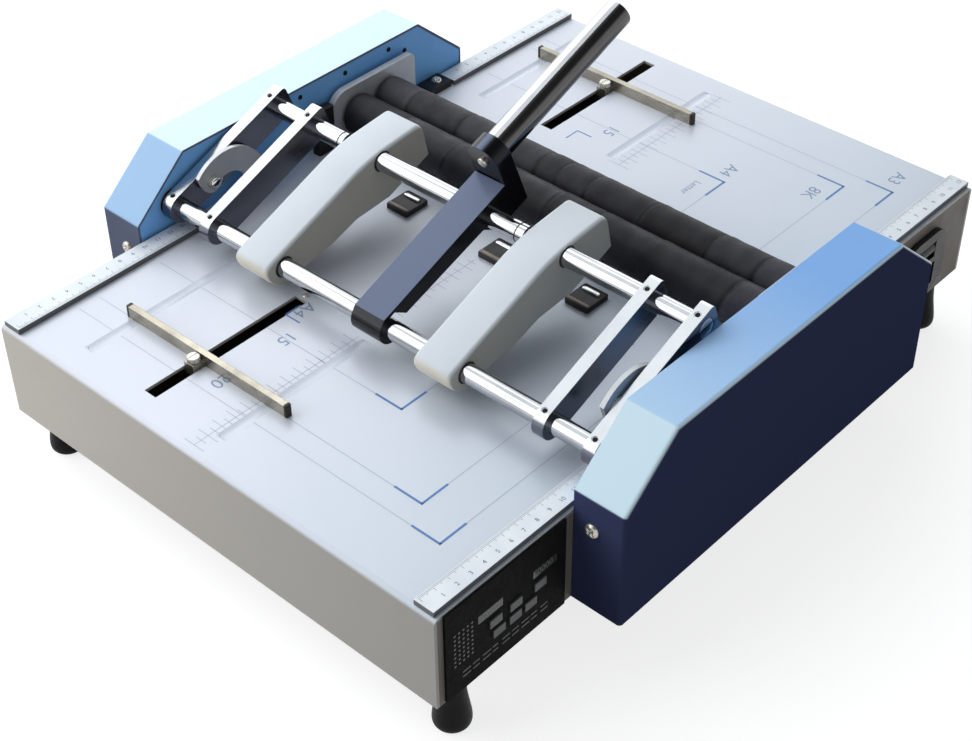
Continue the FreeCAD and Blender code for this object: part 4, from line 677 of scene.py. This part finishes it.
# collars on the rods, where they pass the arms; a collar is its radius and thickness
collarSizes = {"inner": 6.02, "soft": 0.2, "steps": 40, "wide": (6.9, 0.5), "thin": (6.3, 0.6),
               "wideAcross": (-100.8, -72.2, 45.2, 73.8), "thinAcross": (-105.6, 38.8),
               "along": (0, 90)}


def rodCollar(across, along, outer, thick):
    # a flat ring round a rod, its outer corners cut by soft, or less on a small ring
    s = collarSizes
    half = thick / 2
    soft = min(s["soft"], half * 0.8, (outer - s["inner"]) * 0.5)
    profile = [(-half, s["inner"]), (-half, outer - soft), (-half + soft, outer),
               (half - soft, outer), (half, outer - soft), (half, s["inner"])]
    return revolved(profile, tilted([across, along, 0]), acrossBars, overBars, s["steps"])


grids = [rodCollar(x, u, *collarSizes["wide"]) for x in collarSizes["wideAcross"]
         for u in collarSizes["along"]]
grids += [rodCollar(x, collarSizes["along"][1], *collarSizes["thin"])
          for x in collarSizes["thinAcross"]]
addPiece("armCollars", grids, "collarDark", "press_frame", 38, closed=True)

# the two rods, turned smooth: half the length, and u
rodSizes = {"radius": 6, "edge": 0.5, "rows": 60, "steps": 96, "front": (197, 0),
            "rear": (171.2, 90)}


def rod(half, along):
    # profile: flat end, quarter turn, straight side, and the same at the other end
    s = rodSizes
    end = softRim(half, s["radius"], s["edge"], 5)
    flat = half - s["edge"]
    side = [(x, s["radius"]) for x in np.linspace(-flat, flat, s["rows"])[1:-1]]
    profile = [(-half, 0)] + [(-x, r) for x, r in end[::-1]] + side + end + [(half, 0)]
    return revolved(profile, tilted([0, along, 0]), acrossBars, overBars, s["steps"])


for which in ("front", "rear"):
    addPiece(which + "Rod", [rod(*rodSizes[which])], "rodChrome", "press_frame",
             38, standsFor=which + "_rod")
print("rods turned")

# rims round the set screws of the bars; low and high are w
rimSizes = {"across": (-167.2, -133, 133, 167.2), "along": (0, 90), "inner": 1.45,
            "outer": 2.0, "low": 9.61, "high": 9.8, "bevel": 0.1, "steps": 32}


def screwRim(across, along):
    # a flat ring that stands on the bar, bevelled towards the screw
    s = rimSizes
    profile = [(s["low"], s["inner"]), (s["low"], s["outer"]), (s["high"], s["outer"]),
               (s["high"], s["inner"] + s["bevel"]), (s["high"] - s["bevel"], s["inner"])]
    return revolved(profile, tilted([across, along, 0]), overBars, acrossBars, s["steps"])


grids = [screwRim(x, u) for x in rimSizes["across"] for u in rimSizes["along"]]
addPiece("screwRims", grids, "barSteel", "press_frame", closed=True)

# handle tube, its top end closed by a dished cap; start, end and the dish are along u
handleSizes = {"x": 4.5, "w": 25.7, "radius": 9, "start": 109.45, "end": 236, "edge": 1,
               "foot": 0.3, "bore": 2.05, "boreDeep": 6, "rows": 20, "steps": 96,
               "dish": ((-0.35, 6.6), (-0.45, 3), (-0.45, 0))}


def handleTube():
    # profile: bore of the screw, foot, side, quarter turn over the edge, shallow dish
    s = handleSizes
    deep = s["start"] + s["boreDeep"]
    profile = [(deep, 0), (deep, s["bore"]), (s["start"], s["bore"]),
               (s["start"], s["radius"] - s["foot"])]
    side = np.linspace(s["start"] + s["foot"], s["end"] - s["edge"], s["rows"])[:-1]
    profile += [(x, s["radius"]) for x in side]
    profile += softRim(s["end"], s["radius"], s["edge"], 7)
    profile += [(s["end"] + x, r) for x, r in s["dish"]]
    return revolved(profile, tilted([s["x"], 0, s["w"]]), alongBars, acrossBars, s["steps"])


addPiece("handleTube", [handleTube()], "handleChrome", "press_frame", 38,
         standsFor="handle_tube")
print("handle tube turned")

# feet: turned rubber, wider towards the floor; height and radius down the outside
footSizes = {
    "x": 163, "y": 228, "round": 3, "steps": 40,
    "profile": ((38, 0), (38, 7.6), (30, 7.9), (22, 8.6), (14, 9.9), (9, 10.7), (6, 11.0),
                (3.6, 10.9), (1.8, 10.1), (0.6, 8.6), (0, 6.6), (0, 0)),
}
profile = roundedCorners(footSizes["profile"], footSizes["round"], 5, closed=False)
profile[:, 1] = np.maximum(profile[:, 1], 0)
grids = [revolved(profile, (x, y, 0), (0, 0, 1), (1, 0, 0), footSizes["steps"])
         for x in (-footSizes["x"], footSizes["x"]) for y in (-footSizes["y"], footSizes["y"])]
addPiece("rubberFeet", grids, "footRubber", "base", 50, standsFor="feet")


# screws with a cross recess; its lengths are shares of the radius
crossSizes = {"rings": (0, 0.86, 15), "rimRings": (0.9, 1, 5), "steps": 48,
              "domeReach": 0.999, "domePower": 2.6, "armHalf": 0.13, "armSharp": 40,
              "armEnd": 0.55, "endSharp": 30, "rimKept": 0.3}


def crossHead(centre, outward, side, radius, height, recess):
    # height over the seat = dome less a cross-shaped pit, deep where the distance to
    # either arm of the cross is small; the dome's lowest part keeps its rim
    s = crossSizes
    reach = np.concatenate([np.linspace(*s["rings"]), np.linspace(*s["rimRings"])])[:, None]
    angle = np.linspace(0, 2 * np.pi, s["steps"], endpoint=False)[None, :]
    across = reach * np.cos(angle)
    along = reach * np.sin(angle)
    dome = height * np.sqrt(np.maximum(1 - (reach * s["domeReach"]) ** s["domePower"], 0))
    arm = np.minimum(np.abs(across), np.abs(along))
    length = np.maximum(np.abs(across), np.abs(along))
    pit = recess / (1 + np.exp((arm - s["armHalf"]) * s["armSharp"]))
    pit = pit / (1 + np.exp((length - s["armEnd"]) * s["endSharp"]))
    rise = dome - pit * (dome > s["rimKept"] * height)
    rows = np.stack([across * radius, along * radius, rise + 0 * angle], -1)
    foot = rows[-1:].copy()
    foot[..., 2] = 0
    local = np.concatenate([rows, foot, np.zeros_like(foot)])
    outward = np.asarray(outward, float)
    side = np.asarray(side, float)
    other = np.cross(outward, side)
    return (np.asarray(centre, float) + local[..., :1] * side + local[..., 1:2] * other
            + local[..., 2:3] * outward)


coverScrews = {"x": 187, "y": 145, "z": 96, "radius": 4.5, "height": 2.6, "recess": 0.9,
               "turned": (25, 13, 0.2)}
tableScrews = {"recess": 0.5, "heads": (((-165.9, 112, 108), 3.6, 2.6),
                                        ((165.9, 112, 108), 3.6, 2.6),
                                        ((-61, -112, 103), 2.2, 1.5))}
wallScrews = {"x": 174, "radius": 1.7, "height": 1.2, "recess": 0.3,
              "places": ((-6, 145.5), (34.5, 145.5), (75, 145.5), (90, 138.5))}


def coverScrew(x, front):
    # each cross is turned by its own angle = start + share of front + share of x
    s = coverScrews
    start, byFront, byPlace = s["turned"]
    slant = math.radians(start + byFront * front + byPlace * x)
    return crossHead((x, front * s["y"], s["z"]), (0, front, 0),
                     (math.cos(slant), 0, math.sin(slant)), s["radius"], s["height"],
                     s["recess"])


def wallScrew(side, y, z):
    # a small head that faces inwards
    s = wallScrews
    return crossHead((side * s["x"], y, z), (-side, 0, 0), (0, 0.6, 0.8), s["radius"],
                     s["height"], s["recess"])


grids = [coverScrew(x, front) for x in (-coverScrews["x"], coverScrews["x"])
         for front in (-1, 1)]
addPiece("coverScrewHeads", grids, "screwSteel", "base",
         standsFor="cover_screws")
grids = [crossHead(place, (0, 0, 1), (0.8, 0.6, 0), radius, height, tableScrews["recess"])
         for place, radius, height in tableScrews["heads"]]
addPiece("tableScrewHeads", grids, "screwSteel", "base",
         standsFor="table_screws")
grids = [wallScrew(side, y, z) for side in (-1, 1) for y, z in wallScrews["places"]]
addPiece("wallScrewHeads", grids, "screwBlack", "base",
         standsFor="wall_screws")

# domed caps on the bolts of the curved arms
boltCaps = {"x": 154.95, "y": -95.71, "z": 133.28, "radius": 3.9, "height": 2.4, "steps": 40}


def boltCap(side):
    # a quarter ellipse carried round, closed at its foot and pole
    s = boltCaps
    dome = [(s["height"] * math.sin(a), s["radius"] * math.cos(a))
            for a in np.linspace(0, np.pi / 2, 9)[1:-1]]
    profile = [(0, 0), (0, s["radius"])] + dome + [(s["height"], 0)]
    return revolved(profile, (side * s["x"], s["y"], s["z"]), (-side, 0, 0), (0, 0, 1),
                    s["steps"])


addPiece("boltCaps", [boltCap(-1), boltCap(1)], "clinchChrome", "press_frame")
print("screws and feet in place")

# clamp screws of the paper stops: knurled edge, slot across the top
# side has rows of shares: of the radius, of the height and of the knurl
clampSizes = {"radius": 3.9, "height": 3.2, "knurl": 0.18, "teeth": 26, "steps": 104,
              "side": ((0, 0, 0), (1, 0, 0), (1, 0.3, 1), (1, 0.85, 1), (0.93, 1, 0)),
              "top": (0.88, 0, 12), "slotHalf": 0.5, "slotDeep": 0.8, "slotSharp": 14,
              "front": (-61, -199, 107.15), "rear": (-75.7, 185, 107.15)}


def clampHead(place):
    # radius = base radius + knurl cos(teeth angle) on the side; the top dips in a slot
    # across the middle
    s = clampSizes
    angle = np.linspace(0, 2 * np.pi, s["steps"], endpoint=False)[None, :]
    knurl = s["knurl"] * np.cos(s["teeth"] * angle)
    rows = []
    for share, level, rough in s["side"]:
        reach = s["radius"] * share + knurl * rough
        rows.append(np.stack([reach * np.cos(angle), reach * np.sin(angle),
                              s["height"] * level + 0 * angle], -1))
    for share in np.linspace(*s["top"]):
        across = s["radius"] * share * np.cos(angle)
        along = s["radius"] * share * np.sin(angle)
        dip = s["slotDeep"] / (1 + np.exp((np.abs(across) - s["slotHalf"]) * s["slotSharp"]))
        rows.append(np.stack([across, along, s["height"] - dip], -1))
    return np.concatenate(rows) + np.asarray(place, float)


for which in ("front", "rear"):
    addPiece(which + "ClampHead", [clampHead(clampSizes[which])], "screwSteel",
             which + "_clamp")

# clinch blocks: dark seat, a bright bar at the back and a brown lip in front; each has how
# far back it stands, its size, its edge, its finish and the node it stands for
clinchSizes = {
    "across": (-81, -3, 66), "y": -5, "z": 103,
    "pieces": {
        "clinchBlocks": (0, (18, 20, 3.5), 0.7, "clinchDark", "clinch_blocks"),
        "clinchBars": (4.6, (13, 3.2, 5.0), 0.6, "clinchChrome", None),
        "clinchLips": (-7.8, (17.4, 2.6, 4.2), 0.6, "clinchLip", None),
    },
}
for name, (back, size, edge, finish, node) in clinchSizes["pieces"].items():
    grids = [softBlock((x, clinchSizes["y"] + back, clinchSizes["z"]), size, edge)
             for x in clinchSizes["across"]]
    addPiece(name, grids, finish, "base", standsFor=node)
print("clinch blocks cut")

# guide strips in the table's grooves, sunk for the pins of the stops: x, near and far end
guideSizes = {"half": 3.49, "flat": 3.1, "sunk": 1.9, "top": 102.97, "low": 102.535,
              "rim": 0.2, "wall": 0.35, "steps": 33,
              "places": ((-117.5, -230, -118), (-4, -230, -118), (-134, 123, 230),
                         (-20.5, 123, 230))}


def guideStrip(x, near, far):
    # rows carried round a loop of two half turns: the groove's square outline, a
    # round-ended one at the same level, a narrower one sunk, and the middle line
    s = guideSizes
    turn = np.linspace(0, np.pi, s["steps"])
    around = np.concatenate([turn + np.pi, turn])
    outward = np.repeat([-1, 1], s["steps"])
    ends = np.where(outward < 0, near, far)
    across = np.cos(around)
    along = np.sin(around)
    square = 1 / np.maximum(np.abs(across), np.abs(along))
    rows = []
    for reach, inset, level in ((s["half"] * square, s["half"], s["top"]),
                                (s["flat"], s["rim"] + s["flat"], s["top"]),
                                (s["sunk"], s["wall"] + s["sunk"], s["low"]),
                                (0.0, s["wall"] + s["sunk"], s["low"])):
        middle = ends - outward * inset
        rows.append(np.column_stack([x + reach * across, middle + reach * along,
                                     np.full(len(ends), level)]))
    return np.stack(rows)


strips = addPiece("guideStrips", [guideStrip(*place) for place in guideSizes["places"]],
                  "guideClear", "base").data
normals = np.zeros(len(strips.polygons) * 3)
strips.polygons.foreach_get("normal", normals)
if normals.reshape(-1, 3)[:, 2].sum() < 0:
    strips.flip_normals()  # an open sheet, so its faces are turned up here
print("guide strips laid")

# dark caps on the ends of the paper stops
capSizes = {"size": (2.4, 4.3, 8.1), "edge": 0.4, "z": 103.1,
            "front": (-193, (-124, 10)), "rear": (191, (-139, -5))}
for which in ("front", "rear"):
    y, ends = capSizes[which]
    grids = [softBlock((x, y, capSizes["z"]), capSizes["size"], capSizes["edge"]) for x in ends]
    addPiece(which + "StopCaps", grids, "capBrown", which + "_stop")

# black blocks in front of the end plates
endBlocks = {"x": 166.5, "y": 5.2, "z": 103, "size": (7, 15.4, 33), "edge": 0.8}
grids = [softBlock((side * endBlocks["x"], endBlocks["y"], endBlocks["z"]),
                   endBlocks["size"], endBlocks["edge"]) for side in (-1, 1)]
addPiece("endBlocks", grids, "inletBlack", "base")
print("caps and end blocks in place")


# printed marks: thin inlays just over the surface they lie on
def bars(spans, level, axis=2):
    # rectangles (a low, b low, a high, b high) at one level; axis 2 lies flat, axis 0
    # faces +x
    spans = np.asarray(spans, float)
    a = spans[:, [0, 2, 2, 0]]
    b = spans[:, [1, 1, 3, 3]]
    flat = np.full_like(a, level)
    points = np.stack([a, b, flat] if axis == 2 else [flat, a, b], -1).reshape(-1, 3)
    return points, np.arange(len(points)).reshape(-1, 4).tolist()


def joined(parts):
    # lists of points and faces as one
    points, faces, count = [], [], 0
    for spots, corners in parts:
        points.append(spots)
        faces += [[index + count for index in face] for face in corners]
        count += len(spots)
    return np.concatenate(points), faces


def lettering(words, size, reading, up):
    # words as flat faces: each word's middle at its place, reading along one direction
    reading = np.asarray(reading, float)
    up = np.asarray(up, float)
    parts = []
    for text, place in words:
        curve = bpy.data.curves.new("word", "FONT")
        curve.body = text
        curve.size = size
        curve.align_x = "CENTER"
        curve.align_y = "CENTER"
        curve.resolution_u = 3
        holder = addObject("word", curve)
        bpy.context.view_layer.update()
        mesh = bpy.data.meshes.new_from_object(holder)
        flat = np.zeros(len(mesh.vertices) * 3)
        mesh.vertices.foreach_get("co", flat)
        flat = flat.reshape(-1, 3)
        points = np.asarray(place, float) + flat[:, :1] * reading + flat[:, 1:2] * up
        parts.append((points, [list(face.vertices) for face in mesh.polygons]))
        bpy.data.objects.remove(holder)
        bpy.data.curves.remove(curve)
        bpy.data.meshes.remove(mesh)
    return joined(parts)


def inlay(name, parts, finish, axis=2, body="base"):
    # all faces look up the axis, whatever way they were drawn
    points, faces = joined(parts)
    mesh = bpy.data.meshes.new(name)
    mesh.from_pydata((points * millimetre).tolist(), [], faces)
    flipped = [face.index for face in mesh.polygons if face.normal[axis] < 0]
    shell = bmesh.new()
    shell.from_mesh(mesh)
    shell.faces.ensure_lookup_table()
    bmesh.ops.reverse_faces(shell, faces=[shell.faces[index] for index in flipped])
    shell.to_mesh(mesh)
    shell.free()
    mesh.materials.append(finishes[finish])
    piece = addObject(name, mesh)
    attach(piece, body)


tableMarks = {
    "level": 103.04, "zeroY": 0.7, "long": 20, "wide": 1.5, "line": 0.4, "left": -152,
    "corners": ((52.7, 148.5), (112.7, 195), (139.7, 210)),  # x, and reach from zeroY
    "small": (-45, 133, 12, 1.0),  # x, reach, length, width
    "size": 12, "smallSize": 7, "smallWord": ("Letter", (40, 130)),
    "scaleX": -10.5, "shortest": 0.2,
    # the sign of y; where the lines end at the rollers; scales: low, high, step, short, long
    "front": {"way": -1, "nip": -18, "scales": ((-243, -118, 5, 8, 16), (-100, -19, 6, 7, 13)),
              "words": (("15", (-40, -147.5)), ("20", (-40, -198)), ("A4", (-52, -122)))},
    "rear": {"way": 1, "nip": 84, "scales": ((120, 232, 5, 8, 16),),
             "words": (("A3", (133, 226)), ("8K", (101, 176)), ("A4", (47, 162)),
                       ("15", (-40, 148)))},
    # slots and grooves that the fine lines stop at: low x, high x, low y, high y
    "gaps": ((-66, -56, -231.8, -115.7), (-80.7, -70.7, 122.7, 235.3),
             (-121.2, -113.8, -230.3, -117.7), (-7.7, -0.3, -230.3, -117.7),
             (-137.7, -130.3, 122.7, 230.3), (-24.2, -16.8, 122.7, 230.3)),
}


def stopped(spans):
    # each rectangle less the gaps that cross it from side to side
    shortest = tableMarks["shortest"]
    kept = list(spans)
    for left, right, near, far in tableMarks["gaps"]:
        pieces = []
        for a, b, c, d in kept:
            if not (a < right and c > left and b < far and d > near):
                pieces.append((a, b, c, d))
            elif c - a > d - b:
                cut = ((a, b, left, d), (right, b, c, d))
                pieces += [span for span in cut if span[2] - span[0] > shortest]
            else:
                cut = ((a, b, c, near), (a, far, c, d))
                pieces += [span for span in cut if span[3] - span[1] > shortest]
        kept = pieces
    return kept


def cornerMarks(way, nip):
    # L marks whose arms run to the left and towards the rollers, and the fine lines that
    # go on from them
    s = tableMarks
    half = s["wide"] / 2
    fine = s["line"] / 2
    thick, thin = [], []
    for x, reach in s["corners"]:
        y = s["zeroY"] + way * reach
        inward = y - way * s["long"]
        thick.append((x - s["long"], y - half, x + half, y + half))
        thick.append((x - half, min(y, inward), x + half, max(y, inward)))
        thin.append((s["left"], y - fine, x - s["long"], y + fine))
        thin.append((x - fine, min(inward, nip), x + fine, max(inward, nip)))
    x, reach, long, wide = s["small"]
    y = s["zeroY"] + way * reach
    inward = y - way * long
    half = wide / 2
    thick.append((x - long, y - half, x, y + half))
    thick.append((x - long - half, min(y, inward), x - long + half, max(y, inward)))
    return thick, thin


def scaleMarks(low, high, step, short, long):
    # ticks across a fine line, each second one longer
    middle = tableMarks["scaleX"]
    fine = tableMarks["line"] / 2
    spots = np.arange(low, high, step)
    reach = np.where(np.arange(len(spots)) % 2 == 0, long, short) / 2
    spans = np.stack([middle - reach, spots - fine, middle + reach, spots + fine], 1)
    return [tuple(span) for span in spans] + [(middle - fine, low, middle + fine, high)]


def printTable(which):
    # corner marks, fine lines and figures of one table; the words read towards the front
    s = tableMarks
    own = s[which]
    level = s["level"]
    thick, thin = cornerMarks(own["way"], own["nip"])
    for scale in own["scales"]:
        thin += scaleMarks(*scale)
    places = [(text, (*place, level)) for text, place in own["words"]]
    letters = [lettering(places, s["size"], (0, -1, 0), (1, 0, 0))]
    if which == "rear":
        text, place = s["smallWord"]
        letters.append(lettering([(text, (*place, level))], s["smallSize"], (0, -1, 0),
                                 (1, 0, 0)))
    inlay(which + "CornerMarks", [bars(thick, level)], "markBlue")
    inlay(which + "FineMarks", [bars(stopped(thin), level)], "markGrey")
    inlay(which + "Figures", letters, "markPale")


printTable("front")
printTable("rear")

rulerMarks = {"level": 106.54, "inner": 158.9, "figureX": 167.4, "figure": 4.0,
              "tick": 0.11, "short": 1.8, "fifth": 3.0, "tenth": 4.0,
              "ranges": ((-246, -100), (124, 246))}


def rulerTicks(side, low, high):
    # a short tick each millimetre and a longer one at each fifth and tenth
    s = rulerMarks
    spots = np.arange(low, high, 1.0)
    order = np.arange(len(spots))
    reach = np.where(order % 10 == 0, s["tenth"], np.where(order % 5 == 0, s["fifth"], s["short"]))
    edge = side * s["inner"]
    far = edge + side * reach
    spans = np.stack([np.minimum(edge, far), spots - s["tick"], np.maximum(edge, far),
                      spots + s["tick"]], 1)
    places = [(str(index), (side * s["figureX"], low + 10.0 * index, s["level"]))
              for index in range(1, int((high - low) / 10) + 1)]
    return [bars(spans, s["level"]),
            lettering(places, s["figure"], (0, side, 0), (-side, 0, 0))]


parts = []
for side in (-1, 1):
    for low, high in rulerMarks["ranges"]:
        parts += rulerTicks(side, low, high)
inlay("rulerScale", parts, "markInk")

panelMarks = {
    "level": 175.53, "displayLevel": 175.33, "keyLevel": 176.53,
    "dash": {"y": -232, "step": 7.5, "tall": 0.9, "rows": (51.5, 48),
             "widths": (6, 5, 6.4, 4.2, 6, 5.4, 6.2, 4.6, 5.8)},
    "dot": {"y": -238, "z": 60, "step": 3.2, "size": 1.3, "columns": 5, "rows": 8},
    "figures": {"word": "0000", "size": 6.2, "places": ((-210.5, 80), (-168.5, 80))},
    "signSize": 4.6,
    "signs": {"key_a": ("+", -207.5, 71), "key_b": ("-", -192, 71), "key_c": ("0", -173, 71),
              "key_d": ("1", -205, 62), "key_e": ("2", -192.5, 62), "key_f": ("3", -180.5, 62)},
}


def printPanel():
    # dashes and vent dots on the panel, figures on the displays, a sign on each key
    s = panelMarks
    dash, dot, figures = s["dash"], s["dot"], s["figures"]
    starts = [(dash["y"] + dash["step"] * i, wide) for i, wide in enumerate(dash["widths"])]
    dashes = [(y, z, y + wide, z + dash["tall"]) for y, wide in starts for z in dash["rows"]]
    corners = [(dot["y"] + dot["step"] * i, dot["z"] + dot["step"] * j)
               for i in range(dot["columns"]) for j in range(dot["rows"])]
    dots = [(y, z, y + dot["size"], z + dot["size"]) for y, z in corners]
    inlay("panelDashes", [bars(dashes, s["level"], 0)], "markLight", 0)
    inlay("panelVents", [bars(dots, s["level"], 0)], "displayGlass", 0)
    words = [(figures["word"], (s["displayLevel"], y, z)) for y, z in figures["places"]]
    inlay("displayFigures", [lettering(words, figures["size"], (0, 1, 0), (0, 0, 1))],
          "markLight", 0)
    for key, (sign, y, z) in s["signs"].items():
        word = lettering([(sign, (s["keyLevel"], y, z))], s["signSize"], (0, 1, 0), (0, 0, 1))
        inlay(key + "_sign", [word], "markLight", 0, key + "_body")


printPanel()
print("marks printed")

# floor, world and lamps: a lamp's direction, distance, size, watts and colour
stageSettings = {
    "floorSize": 6, "shown": (0.4, 0.4, 0.4, 1), "unseen": (0.22, 0.22, 0.22, 1),
    "glow": 0.78, "glowRises": (0.7, 1.8), "floorRough": 0.9,
    "worldColor": (0.92, 0.96, 1.0, 1), "white": (1.0, 1.0, 1.0, 1.0),
    "worldStrength": 0.2, "ceiling": 0.12, "ceilingStarts": (0.3, 0.6), "aim": (0, 0, 0.1),
    "lamps": {
        "topLamp": ((-0.52, 0.0, 0.85), 2.4, (2.7, 2.7), 31, (0.96, 0.98, 1.0)),
        "backLamp": ((-0.66, 0.55, 0.52), 2.5, (2.6, 2.6), 30, (0.95, 0.98, 1.0)),
        "frontLamp": ((-0.60, -0.62, 0.52), 2.2, (2.2, 2.0), 29, (0.98, 0.98, 0.98)),
        "sideLamp": ((0.85, -0.25, 0.4), 2.4, (2.0, 2.0), 6, (0.95, 0.97, 1.0)),
    },
}


def shownToEye(tree):
    # 1 for rays from the camera and for mirror and glass rays, 0 for the light's bounces
    rays = addNode(tree, "ShaderNodeLightPath").outputs
    direct = combine(tree, "MAXIMUM", rays["Is Camera Ray"], rays["Is Glossy Ray"])
    return combine(tree, "MAXIMUM", direct, rays["Is Transmission Ray"])


def makeFloor():
    # pale to the eye and darker to the light's bounces; glow rises with the distance from
    # the middle, so that the far floor is white
    s = stageSettings
    half = s["floorSize"] / 2
    mesh = bpy.data.meshes.new("floor")
    corners = [(-half, -half, 0), (half, -half, 0), (half, half, 0), (-half, half, 0)]
    mesh.from_pydata(corners, [], [(0, 1, 2, 3)])
    material = bpy.data.materials.new("floorPale")
    material.use_nodes = True
    tree = material.node_tree
    shader = tree.nodes["Principled BSDF"].inputs
    shader["Roughness"].default_value = s["floorRough"]
    shader["Specular IOR Level"].default_value = 0.0
    shader["Emission Color"].default_value = s["white"]
    share = shownToEye(tree)
    tree.links.new(mixColors(tree, share, s["unseen"], s["shown"]), shader["Base Color"])
    place = addNode(tree, "ShaderNodeTexCoord").outputs["Object"]
    away = combine(tree, "LENGTH", place, kind="ShaderNodeVectorMath")
    rising = spread(tree, away, *s["glowRises"], s["glow"], 1)
    tree.links.new(combine(tree, "MULTIPLY", share, rising), shader["Emission Strength"])
    mesh.materials.append(material)
    addObject("floor", mesh)


def makeWorld():
    # white to the eye and low down for mirrors, dim overhead for them, weak for the
    # light's bounces
    s = stageSettings
    world = bpy.data.worlds.new("studio")
    bpy.context.scene.world = world
    world.use_nodes = True
    tree = world.node_tree
    background = tree.nodes["Background"].inputs
    share = shownToEye(tree)
    height = parted(tree, "ShaderNodeTexCoord", "Generated")["Z"]
    mirrored = spread(tree, height, *s["ceilingStarts"], 1, s["ceiling"])
    eye = addNode(tree, "ShaderNodeLightPath").outputs["Is Camera Ray"]
    seen = combine(tree, "MAXIMUM", mirrored, eye)
    tree.links.new(mixNumbers(tree, share, s["worldStrength"], seen), background["Strength"])
    tree.links.new(mixColors(tree, share, s["worldColor"], s["white"]), background["Color"])


def softLamp(name, direction, distance, size, watts, color):
    # a rectangle at aim + direction times distance, turned to face the aim
    way = Vector(direction).normalized()
    data = bpy.data.lights.new(name, "AREA")
    data.shape = "RECTANGLE"
    data.size, data.size_y = size
    data.energy = watts
    data.color = color
    lamp = addObject(name, data)
    lamp.location = Vector(stageSettings["aim"]) + way * distance
    lamp.rotation_euler = way.to_track_quat("Z", "Y").to_euler()


makeFloor()
makeWorld()
for name, values in stageSettings["lamps"].items():
    softLamp(name, *values)
print("stage lit")
